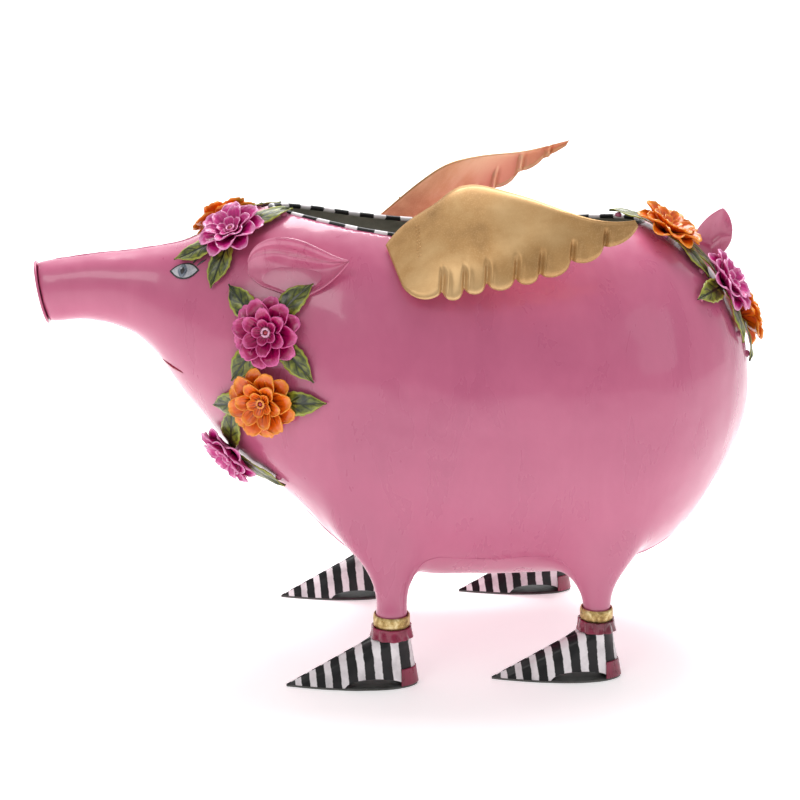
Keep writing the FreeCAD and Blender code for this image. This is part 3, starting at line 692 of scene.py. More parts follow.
@dataclass
class PaintedBody:
    """The pig's body: three formed panels welded into one thin skin that is open in the back.

    Each cross-section from snout to rump is shares of the barrel's length, height and width: place, top,
    bottom, width, and the fullness of its lower half (2 is an ellipse, more is squarer).
    """

    palette: Palette
    sections: tuple[tuple[float, float, float, float, float], ...] = (
        (0.000, 0.840, 0.679, 0.161, 2.0), (0.070, 0.859, 0.682, 0.181, 2.0),
        (0.137, 0.872, 0.628, 0.250, 2.1), (0.197, 0.891, 0.473, 0.408, 2.2),
        (0.259, 0.943, 0.327, 0.592, 2.4), (0.338, 0.989, 0.212, 0.757, 2.7),
        (0.410, 1.000, 0.072, 0.895, 3.0), (0.496, 0.995, 0.011, 0.974, 3.2),
        (0.625, 0.984, 0.000, 1.000, 3.2), (0.751, 0.967, 0.003, 0.974, 3.1),
        (0.833, 0.940, 0.026, 0.895, 2.7), (0.890, 0.889, 0.078, 0.755, 2.3),
        (0.938, 0.807, 0.176, 0.570, 2.1), (0.973, 0.709, 0.282, 0.370, 2.0),
        (0.994, 0.601, 0.372, 0.185, 2.0), (1.000, 0.522, 0.446, 0.053, 2.0))
    height: float = 368 * MM
    snout_lean: float = SNOUT_LEAN
    wall: float = 1.5 * MM
    voxel: float = 3.4 * MM
    rings: int = 120
    ring_points: int = 96
    leg_rings: int = 40
    leg_sides: int = 32
    even_rounds: int = 4
    junction_rounds: int = 60
    dent_depth: float = 0.55 * MM
    dent_size: float = 38 * MM

    def measure(self) -> None:
        """Reads the barrel, the opening and the legs from the frame."""
        low, high = box_of("left_side_panel")
        _, right_high = box_of("right_side_panel")
        belly_low, _ = box_of("belly_panel")
        lean = 0.5 * (self.sections[0][1] - self.sections[0][2])
        self.middle = 0.5 * (low.y + right_high.y)
        self.width = right_high.y - low.y
        rim_low, rim_high = box_of("opening_rim")
        self.base = self.belly_height()
        self.top = self.base + self.height
        self.start = low.x + lean * self.height * math.sin(self.snout_lean)
        self.length = high.x - self.start
        self.opening = (rim_low + rim_high) / 2
        self.opening_half = (rim_high - rim_low) / 2
        self.ankle_height = belly_low.z

    def belly_height(self) -> float:
        """The height of the belly's lowest point between the legs, found by a ray from below."""
        tree = tree_of(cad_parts["belly_panel"].data)
        low, high = box_of("belly_panel")
        heights = []
        for share in (0.4, 0.5, 0.6, 0.7):
            start = Vector((low.x + share * (high.x - low.x), self.middle, low.z - 0.1))
            heights.append(tree.ray_cast(start, UP)[0].z)
        return min(heights)

    def section_at(self, place: float) -> np.ndarray:
        """The section's numbers at a share of the length, on a smooth curve through the table."""
        table = np.array(self.sections)
        index = int(np.clip(np.searchsorted(table[:, 0], place) - 1, 0, len(table) - 2))
        before, low = table[max(index - 1, 0)], table[index]
        high, after = table[index + 1], table[min(index + 2, len(table) - 1)]
        gap = high[0] - low[0]
        share = (place - low[0]) / gap
        slope_low = (high - before) / max(high[0] - before[0], 1e-6) * gap
        slope_high = (after - low) / max(after[0] - low[0], 1e-6) * gap
        cube, square = share ** 3, share ** 2
        row = ((2 * cube - 3 * square + 1) * low + (cube - 2 * square + share) * slope_low
               + (3 * square - 2 * cube) * high + (cube - square) * slope_high)
        row[0] = place
        return row

    def barrel(self) -> tuple[list[Vector], Faces]:
        """The barrel as a closed mesh."""
        points = []
        height = self.top - self.base
        for i in range(self.rings):
            share = i / (self.rings - 1)
            place = share + 0.035 * math.sin(2 * math.pi * share) * (1 - share)
            place = 1 - (1 - min(max(place, 0.0), 1.0)) ** 1.25 if share > 0 else 0.0
            _, top, bottom, width, fullness = self.section_at(place)
            centre = self.base + height * (top + bottom) / 2
            half_height, half_width = height * (top - bottom) / 2, self.width / 2 * width
            lean = self.snout_lean * smooth_step(0.09, 0.0, place)
            for j in range(self.ring_points):
                angle = 2 * math.pi * j / self.ring_points
                across, rise = math.cos(angle), math.sin(angle)
                power = 2 / (2 if rise >= 0 else fullness)
                y = half_width * math.copysign(abs(across) ** power, across)
                z = half_height * math.copysign(abs(rise) ** power, rise)
                x = self.start + place * self.length - z * math.sin(lean)
                points.append(Vector((x, self.middle + y, centre + z * math.cos(lean))))
        return points, capped_faces(self.rings, self.ring_points)

    def leg(self, pair: str, side: str) -> tuple[list[Vector], Faces]:
        """One leg as a closed mesh from the shoe to inside the barrel.

        Args:
            pair: front or rear.
            side: left or right.

        Returns:
            Its points and faces.
        """
        low, high = box_of(f"{pair}_{side}_anklet")
        centre = (low + high) / 2
        band = (high.x - low.x) / 2
        ankle = band - 1.4 * MM
        outward = -1 if side == "left" else 1
        flares = {"front": ((4, 2.3, 2), (25, 10, 6), (40, 23, 15), (62, 41, 26), (92, 57, 36)),
                  "rear": ((-7, 1.3, 1), (9, 10.8, 7), (26, 25, 15), (46, 43, 27), (82, 57, 38))}[pair]
        rows = [(self.ankle_height, 0.0, 0.0), (high.z, 0.0, 0.0)]
        rows += [(self.base + rise * MM, flare * MM, inward * MM) for rise, flare, inward in flares]
        heights, flare_row, inward_row = (np.array(column) for column in zip(*rows))
        points = []
        for i in range(self.leg_rings):
            height = heights[0] + (heights[-1] - heights[0]) * i / (self.leg_rings - 1)
            flare = float(np.interp(height, heights, flare_row))
            inward = float(np.interp(height, heights, inward_row))
            middle = centre.y - outward * (inward + 0.03 * max(height - high.z, 0.0))
            for j in range(self.leg_sides):
                angle = 2 * math.pi * j / self.leg_sides
                points.append(Vector((centre.x + (ankle + flare) * math.cos(angle),
                                      middle + (ankle + inward) * math.sin(angle), height)))
        return points, capped_faces(self.leg_rings, self.leg_sides, flip=True)

    def fused(self) -> bpy.types.Mesh:
        """Barrel and legs as one even, closed mesh."""
        draft = Draft()
        draft.add(*self.barrel())
        for pair in ("front", "rear"):
            for side in ("left", "right"):
                draft.add(*self.leg(pair, side))
        rough = bpy.data.objects.new("rough_body", draft.mesh("rough_body", []))
        bpy.context.scene.collection.objects.link(rough)
        remesh = rough.modifiers.new("even", "REMESH")
        remesh.mode = "VOXEL"
        remesh.voxel_size = self.voxel
        apply_modifiers(rough)
        mesh = rough.data
        bpy.data.objects.remove(rough)
        return mesh

    def relax(self, points: np.ndarray, edges: np.ndarray, weight: np.ndarray, rounds: int) -> np.ndarray:
        """Moves points towards the middle of their neighbours.

        Args:
            points: The points.
            edges: Pairs of point indices.
            weight: How far each point may move in a round, 0 to 1.
            rounds: How many rounds.

        Returns:
            The moved points.
        """
        count = np.bincount(edges.ravel(), minlength=len(points)).astype(float)[:, None]
        for _ in range(rounds):
            total = np.zeros_like(points)
            for axis in range(3):
                total[:, axis] = (np.bincount(edges[:, 0], points[edges[:, 1], axis], len(points))
                                  + np.bincount(edges[:, 1], points[edges[:, 0], axis], len(points)))
            points = points + weight[:, None] * (total / count - points)
        return points

    def build(self) -> Skin:
        """Makes the body's piece and returns its outer surface."""
        self.measure()
        mesh = self.fused()
        points = np.empty(len(mesh.vertices) * 3)
        mesh.vertices.foreach_get("co", points)
        points = points.reshape(-1, 3)
        edges = np.empty(len(mesh.edges) * 2, dtype=np.int64)
        mesh.edges.foreach_get("vertices", edges)
        edges = edges.reshape(-1, 2)

        points = self.relax(points, edges, np.full(len(points), 0.5), self.even_rounds)
        weight = np.zeros(len(points))
        for pair in ("front", "rear"):
            for side in ("left", "right"):
                low, high = box_of(f"{pair}_{side}_anklet")
                middle_x, middle_y = (low.x + high.x) / 2, (low.y + high.y) / 2
                reach = np.hypot(points[:, 0] - middle_x, points[:, 1] - middle_y)
                near = np.clip((0.11 - reach) / 0.03, 0, 1)
                level = np.clip((points[:, 2] - self.base + 0.012) / 0.02, 0, 1)
                level *= np.clip((self.base + 0.12 - points[:, 2]) / 0.03, 0, 1)
                weight = np.maximum(weight, near * level)
        points = self.relax(points, edges, 0.6 * weight, self.junction_rounds)

        mesh.vertices.foreach_set("co", points.ravel())
        mesh.update()
        normals = np.empty(len(points) * 3)
        mesh.vertices.foreach_get("normal", normals)
        normals = normals.reshape(-1, 3)
        dents = np.array([wobble(Vector(p), self.dent_size, 4.0)
                          + 0.5 * wobble(Vector(p), self.dent_size / 2.3, 9.0) for p in points])
        points = points + normals * (dents * self.dent_depth)[:, None]

        mesh.vertices.foreach_set("co", points.ravel())
        mesh.update()
        closed_skin = Skin(mesh)
        self.cut_opening(mesh, closed_skin)
        mesh.materials.clear()
        mesh.materials.append(self.palette.pink)
        mesh.materials.append(self.palette.inside)
        mesh.polygons.foreach_set("material_index", [0] * len(mesh.polygons))
        mesh.polygons.foreach_set("use_smooth", [True] * len(mesh.polygons))
        show("painted_body", mesh, ("left_side_panel", "right_side_panel", "belly_panel"),
             thickness=self.wall, inner_finish=1)
        return closed_skin

    def cut_opening(self, mesh: bpy.types.Mesh, closed_skin: Skin) -> None:
        """Takes away the faces inside the rim's oval and draws the cut edge to the oval, on the skin."""
        work = bmesh.new()
        work.from_mesh(mesh)

        def radius(point: Vector) -> float:
            """How far out a point is, where the oval is 1."""
            return math.hypot((point.x - self.opening.x) / self.opening_half.x,
                              (point.y - self.opening.y) / self.opening_half.y)

        mid_height = (self.top + self.base) / 2
        inside = [face for face in work.faces
                  if face.calc_center_median().z > mid_height and radius(face.calc_center_median()) < 1.0]
        bmesh.ops.delete(work, geom=inside, context="FACES")
        for vertex in work.verts:
            if vertex.is_boundary and vertex.co.z > mid_height:
                share = radius(vertex.co)
                vertex.co.x = self.opening.x + (vertex.co.x - self.opening.x) / share
                vertex.co.y = self.opening.y + (vertex.co.y - self.opening.y) / share
                above = Vector((vertex.co.x, vertex.co.y, 2 * self.top))
                found = closed_skin.hit(above, -UP)
                if found:
                    vertex.co.z = found[0].z
        work.to_mesh(mesh)
        work.free()


@dataclass
class Seams:
    """Weld seams where the panels meet: low uneven beads along the snout, chest, rump and belly."""

    palette: Palette
    body: PaintedBody
    skin: Skin
    radius: float = 1.15 * MM
    step: float = 3.2 * MM
    sunk: float = 0.45 * MM
    sides: int = 7

    def traced(self, starts: Sequence[Vector], directions: Sequence[Vector]) -> list[Vector]:
        """Points on the skin met by rays."""
        points = []
        for start, direction in zip(starts, directions):
            found = self.skin.hit(start, direction)
            if found:
                points.append(found[0] - found[1] * self.sunk)
        return points

    def centre_line(self, along: Sequence[float], falling: bool) -> list[Vector]:
        """A seam on the middle plane, traced from above or below at each place along X."""
        middle = self.body.middle
        height = self.body.top + 0.1 if falling else -0.05
        starts = [Vector((x, middle, height)) for x in along]
        return self.traced(starts, [-UP if falling else UP] * len(starts))

    def around_middle(self, first: float, last: float, count: int, heart: Vector) -> list[Vector]:
        """A seam on the middle plane, traced inwards to heart between two angles from +X towards +Z."""
        starts, directions = [], []
        for i in range(count):
            angle = math.radians(first + (last - first) * i / (count - 1))
            ray = Vector((math.cos(angle), 0.0, math.sin(angle)))
            starts.append(heart + ray * 0.6)
            directions.append(-ray)
        return self.traced(starts, directions)

    def bead(self, draft: Draft, path: list[Vector], seed: float) -> None:
        """Adds one bead along a path."""
        if len(path) < 4:
            return
        even = [path[0]]
        for point in path[1:]:
            if (point - even[-1]).length >= self.step:
                even.append(point)

        def radius(i: int, angle: float) -> float:
            """The bead swells and thins along its way."""
            end = min(i, len(even) - 1 - i) / 3
            return self.radius * min(end + 0.15, 1.0) * (1.0 + 0.35 * wobble(even[i], 9 * MM, seed))

        rings = tube_rings(even, radius, self.sides, closed=False)
        draft.add(rings, capped_faces(len(even), self.sides))

    def build(self) -> None:
        """Makes the seam piece."""
        body = self.body
        draft = Draft()
        snout_end = body.start + 6 * MM
        rim_front = body.opening.x - body.opening_half.x
        rim_rear = body.opening.x + body.opening_half.x
        self.bead(draft, self.centre_line(np.arange(snout_end, rim_front - 4 * MM, 2 * MM), True), 1.0)
        heart = Vector((body.opening.x + 0.02, body.middle, (body.top + body.base) / 2))
        rear_angle = math.degrees(math.atan2(body.top - heart.z - 0.02, rim_rear - heart.x)) - 1.5
        self.bead(draft, self.around_middle(rear_angle, -62.0, 190, heart), 2.0)
        chin_end = box_of("belly_panel")[0].x
        self.bead(draft, self.centre_line(np.arange(snout_end, chin_end, 1.5 * MM), False), 3.0)
        self.belly_edges(draft, chin_end)
        draft.show("weld_seams", [self.palette.pink], "pink_paint")

    def belly_edges(self, draft: Draft, chest: float) -> None:
        """Adds the seams round the belly panel: to the front legs, along the belly, up to the rump."""
        body = self.body
        _, high = box_of("belly_panel")
        for sign, side in ((-1, "left"), (1, "right")):
            stops = [Vector((chest, body.middle, 0.0))]
            for pair in ("front", "rear"):
                leg_low, leg_high = box_of(f"{pair}_{side}_anklet")
                stops.append(Vector(((leg_low.x + leg_high.x) / 2, (leg_low.y + leg_high.y) / 2, 0.0)))
            stops.append(Vector((high.x, body.middle, 0.0)))
            for number, (first, last) in enumerate(zip(stops, stops[1:])):
                run = last - first
                count = int(run.length / (1.5 * MM))
                places = [first + run * (i / count) for i in range(count + 1)]
                starts = [Vector((p.x, p.y, -0.05)) for p in places]
                path = self.traced(starts, [UP] * len(starts))
                self.bead(draft, [p for p in path if p.z > body.ankle_height + 0.012], 5.0 + number + sign)


@dataclass
class SnoutPlate:
    """The plate that closes the snout: a slightly domed disc with a rolled edge and two dimples."""

    palette: Palette
    sides: int = 64
    lean: float = SNOUT_LEAN

    def build(self) -> None:
        """Makes the plate from its node's size and lean."""
        cloud = cloud_of("snout_plate")
        low, high = cloud.min(axis=0), cloud.max(axis=0)
        centre = Vector((low + high) / 2)
        up = Vector((-math.sin(self.lean), 0, math.cos(self.lean)))
        out = Vector((-math.cos(self.lean), 0, -math.sin(self.lean)))
        half_width = (high[1] - low[1]) / 2
        half_height = (high[2] - low[2]) / 2 / math.cos(self.lean)
        profile = [(0.0, 1.4), (0.25, 1.35), (0.5, 1.2), (0.7, 0.9), (0.82, 0.5), (0.90, 0.35),
                   (0.95, 0.9), (0.985, 1.15), (1.0, 0.6), (1.0, -0.3), (0.985, -0.9), (0.93, -0.9),
                   (0.5, -0.9), (0.02, -0.9)]
        points = []
        for share, lift in profile:
            for j in range(self.sides):
                angle = 2 * math.pi * j / self.sides
                across, rise = share * math.cos(angle), share * math.sin(angle)
                dimple = 0.0
                if lift > 0:
                    for side in (-1, 1):
                        gap = math.hypot((across - side * 0.34) / 0.17, (rise + 0.05) / 0.24)
                        dimple += 2.2 * max(0.0, 1 - gap ** 2)
                flat = centre + Vector((0, 1, 0)) * (half_width * across) + up * (half_height * rise)
                points.append(flat + out * ((lift - dimple) * MM))
        draft = Draft()
        draft.add(points, capped_faces(len(profile), self.sides, flip=True))
        draft.show("snout_disc", [self.palette.pink], "pink_paint", ("snout_plate",))


@dataclass
class WireRim:
    """The wire round the opening, painted in black and white bands."""

    palette: Palette
    radius: float = 2.4 * MM
    sides: int = 14
    points: int = 260
    smoothing: int = 6
    band_pitch: float = 28 * MM

    def build(self) -> None:
        """Makes the rim along its node's oval."""
        low, high = box_of("opening_rim")
        cloud = cloud_of("opening_rim")
        centre, half = (low + high) / 2, (high - low) / 2
        angles = np.arctan2((cloud[:, 1] - centre.y) / half.y, (cloud[:, 0] - centre.x) / half.x)
        order = np.argsort(angles)
        angles, heights = angles[order], cloud[order, 2]
        path = []
        for i in range(self.points):
            angle = 2 * math.pi * i / self.points - math.pi
            gap = np.abs((angles - angle + math.pi) % (2 * math.pi) - math.pi)
            near = heights[gap < 0.10]
            spot = Vector((centre.x + (half.x - self.radius) * math.cos(angle),
                           centre.y + (half.y - self.radius) * math.sin(angle),
                           float(near.min() + near.max()) / 2))
            jog = Vector((wobble(spot, 60 * MM, 3.0), wobble(spot, 60 * MM, 5.0),
                          wobble(spot, 50 * MM, 7.0)))
            path.append(spot + jog * (0.5 * MM))
        smooth = path
        for _ in range(self.smoothing):
            smooth = [(smooth[i - 1] + smooth[i] * 2 + smooth[(i + 1) % len(smooth)]) / 4
                      for i in range(len(smooth))]
        travelled = np.cumsum([0.0] + [(b - a).length for a, b in zip(smooth, smooth[1:] + smooth[:1])])
        pitches = round(travelled[-1] / self.band_pitch)
        rings = tube_rings(
            smooth, lambda i, angle: self.radius * (1 + 0.04 * wobble(smooth[i], 12 * MM, 2.0)),
            self.sides, closed=True)
        stripe = [travelled[i] / travelled[-1] * pitches
                  for i in range(self.points) for _ in range(self.sides)]
        faces = grid_faces(self.points + 1, self.sides, closed=True)
        rings += rings[:self.sides]
        stripe += [float(pitches)] * self.sides
        draft = Draft()
        draft.add(rings, faces, stripe=stripe)
        draft.show("banded_rim", [self.palette.rim], "striped_rim_paint", ("opening_rim",))


# ------------------------------------------------------------------ wings, ears and tail
class SheetForm:
    """A bent sheet of the frame, read as columns from its front end to its rear end."""

    def __init__(self, node: str, outward: float) -> None:
        """Reads a node's mesh; outward is the sign of Y on which its outer face lies."""
        self.tree = tree_of(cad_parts[node].data)
        self.ends = edge_ends(node)
        self.outward = outward
        self.low, self.high = box_of(node)

    def face(self, x: float, z: float) -> float | None:
        """The Y of the outer face at a place."""
        start = Vector((x, self.outward * 0.5, z))
        found = self.tree.ray_cast(start, Vector((0, -self.outward, 0)))
        return found[0].y if found[0] else None

    def grid(self, columns: int, rows: int, inset: float = 0.4 * MM) -> np.ndarray:
        """An even grid over the sheet's outer face.

        Args:
            columns: How many places along X.
            rows: How many places from the low to the high edge.
            inset: How far it stays inside the sheet's edge.

        Returns:
            The places, by column and row.
        """
        length = self.high.x - self.low.x
        grid = np.zeros((columns, rows, 3))
        for i in range(columns):
            share = 0.5 - 0.5 * math.cos(math.pi * i / (columns - 1))
            x = self.low.x + inset + (length - 2 * inset) * (0.25 * share + 0.75 * i / (columns - 1))
            low, high = crossing_range(self.ends, x, 2)
            pad = min(inset, 0.2 * (high - low))
            for j in range(rows):
                z = low + pad + (high - low - 2 * pad) * j / (rows - 1)
                y = self.face(x, z)
                grid[i, j] = (x, math.nan if y is None else y, z)
        self.fill(grid)
        return grid

    def fill(self, grid: np.ndarray) -> None:
        """Fills places that a ray missed from the nearest column that has them."""
        for j in range(grid.shape[1]):
            row = grid[:, j, 1]
            known = ~np.isnan(row)
            if known.any():
                row[~known] = np.interp(np.flatnonzero(~known), np.flatnonzero(known), row[known])


@dataclass
class Wing:
    """One wing: a convex sheet with scalloped feathers, grooved above each notch, dotted at its root."""

    palette: Palette
    side: str
    columns: int = 230
    rows: int = 34
    scallop_length: float = 224 * MM
    groove_length: float = 30 * MM
    groove_depth: float = 3.4 * MM
    groove_width: float = 2.0 * MM
    wall: float = 1.2 * MM
    notches: tuple[float, ...] = (0.210, 0.295, 0.385, 0.500, 0.598, 0.725, 0.860)

    def groove(self, x: float, depth: float, root: float) -> float:
        """How far the sheet is pressed in: a narrow valley with a raised lip on its rear side.

        Args:
            x: The place along X.
            depth: The height above the scalloped edge.
            root: Where the wing starts along X.

        Returns:
            The press, in metres.
        """
        total = 0.0
        for number, notch in enumerate(self.notches):
            place = root + notch * self.scallop_length + 0.10 * depth
            gap = (x - place) / self.groove_width
            reach = self.groove_length * (1.0 - 0.35 * notch) * (1.0 + 0.12 * math.sin(5.0 * number))
            fade = smooth_step(reach, 0.55 * reach, depth)
            valley = math.exp(-gap * gap)
            lip = 0.55 * math.exp(-((gap - 2.0) / 1.1) ** 2)
            total += (valley - lip) * fade
        return total * self.groove_depth

    def build(self) -> None:
        """Makes the wing's piece."""
        outward = -1.0 if self.side == "left" else 1.0
        node = f"{self.side}_wing"
        form = SheetForm(node, outward)
        grid = form.grid(self.columns, self.rows)
        root = form.low.x
        points = []
        for i in range(self.columns):
            for j in range(self.rows):
                x, y, z = grid[i, j]
                depth = z - grid[i, 0, 2]
                press = self.groove(x, depth, root)
                swell = 0.9 * MM * wobble(Vector((x, 0, z)), 34 * MM, 3.0 + outward)
                rolled = 1.6 * MM * smooth_step(4 * MM, 0.0, min(depth, grid[i, -1, 2] - z))
                points.append(Vector((x, y - outward * (press + rolled - swell), z)))
        faces = grid_faces(self.columns, self.rows, flip=outward < 0)
        draft = Draft()
        draft.add(points, faces)
        # The inner face takes the gold with the painted pink reflection of the body.
        draft.show(f"{self.side}_gold_wing", [self.palette.gold, self.palette.pink_reflection_gold], "gold_wing_paint",
                   (node,), self.wall, inner_finish=1)
        self.punch_dots(form, root, outward)

    def punch_dots(self, form: SheetForm, root: float, outward: float) -> None:
        """Adds the two rows of small raised dots beside the root."""
        draft = Draft()
        for column in range(2):
            for k in range(9):
                x = root + (28 + 2.2 * column) * MM
                z = form.low.z + 0.62 * (form.high.z - form.low.z) - k * 3.1 * MM + column * 1.5 * MM
                y = form.face(x, z)
                if y is not None:
                    blob(draft, Vector((x, y, z)), Vector((0, outward, 0)), 0.9 * MM, 0.5 * MM, 6)
        draft.show(f"{self.side}_wing_dots", [self.palette.gold], "gold_wing_paint")


def blob(draft: Draft, place: Vector, normal: Vector, radius: float, height: float, sides: int = 12,
         seed: float = 0.0, finish: int = 0) -> None:
    """Adds a low rounded bead that sits on a surface.

    Args:
        draft: Where it goes.
        place: The middle of its foot.
        normal: The surface's normal.
        radius: The radius of its foot.
        height: How far it stands out.
        sides: How many points in a ring.
        seed: More than 0 makes it uneven.
        finish: The material index.
    """
    turn = normal.to_track_quat("Z", "Y").to_matrix()
    points = []
    rings = ((1.0, -0.35), (1.03, 0.1), (0.9, 0.5), (0.62, 0.84), (0.28, 0.98))
    for out, up in rings:
        for j in range(sides):
            angle = 2 * math.pi * j / sides
            local = Vector((math.cos(angle) * out * radius, math.sin(angle) * out * radius, up * height))
            point = place + turn @ local
            if seed:
                point += normal * (0.3 * height * wobble(point, 3 * radius, seed))
                point += (point - place) * (0.22 * wobble(point, 1.5 * radius, seed + 3))
            points.append(point)
    draft.add(points, capped_faces(len(rings), sides), finish)


@dataclass
class Ear:
    """One ear: a cupped leaf with a folded upper margin and a rolled edge."""

    palette: Palette
    side: str
    columns: int = 90
    rows: int = 40
    fold_depth: float = 7.5 * MM
    cup_depth: float = 11 * MM
    wall: float = 1.2 * MM

    def build(self) -> None:
        """Makes the ear's piece."""
        outward = -1.0 if self.side == "left" else 1.0
        node = f"{self.side}_ear"
        form = SheetForm(node, outward)
        grid = form.grid(self.columns, self.rows)
        length = form.high.x - form.low.x
        points = []
        for i in range(self.columns):
            for j in range(self.rows):
                x, y, z = grid[i, j]
                along = (x - form.low.x) / length
                level = j / (self.rows - 1)
                body = math.sin(math.pi * min(max(along, 0.0), 1.0)) ** 0.7
                fold_line = 0.80 - 0.10 * along
                fold = -self.fold_depth * math.exp(-((level - fold_line) / 0.07) ** 2) * body
                bowl = -self.cup_depth * math.sin(math.pi * min(level / fold_line, 1.0)) * body
                lip = 2.6 * MM * (smooth_step(0.08, 0.0, level) + smooth_step(0.95, 1.0, level)) * body
                ripple = 0.5 * MM * wobble(Vector((x, 0, z)), 16 * MM, 8.0)
                points.append(Vector((x, y + outward * (fold + bowl + lip + ripple), z)))
        faces = grid_faces(self.columns, self.rows, flip=outward < 0)
        draft = Draft()
        draft.add(points, faces)
        draft.show(f"{self.side}_leaf_ear", [self.palette.ear_pink], "pink_paint", (node,), self.wall)


@dataclass
class Tail:
    """The tail: a small curled leaf on the rump."""

    palette: Palette
    columns: int = 50
    rows: int = 50
    cup_depth: float = 5 * MM
    wall: float = 1.2 * MM

    def build(self) -> None:
        """Makes the tail's piece."""
        form = SheetForm("tail", -1.0)
        grid = form.grid(self.columns, self.rows)
        points = []
        for i in range(self.columns):
            for j in range(self.rows):
                x, y, z = grid[i, j]
                level = j / (self.rows - 1)
                along = i / (self.columns - 1)
                bowl = self.cup_depth * math.sin(math.pi * level) * math.sin(math.pi * along)
                crease = 2.2 * MM * math.exp(-((level - 0.5 + 0.15 * along) / 0.06) ** 2)
                crease *= math.sin(math.pi * along)
                points.append(Vector((x, y + bowl - crease, z)))
        draft = Draft()
        draft.add(points, grid_faces(self.columns, self.rows, flip=True))
        draft.show("leaf_tail", [self.palette.ear_pink], "pink_paint", ("tail",), self.wall)


# ------------------------------------------------------------------ garland
class Bloom(Enum):
    """The flower colours of the garland."""

    ORANGE = "orange"
    MAGENTA = "magenta"
    VIOLET = "violet"


@dataclass(frozen=True)
class PetalRing:
    """One ring of petals: its share of the flower's radius, how far it is bent up, and its turn."""

    share: float
    tilt: float
    turn: float
    petals: int
    lift: float


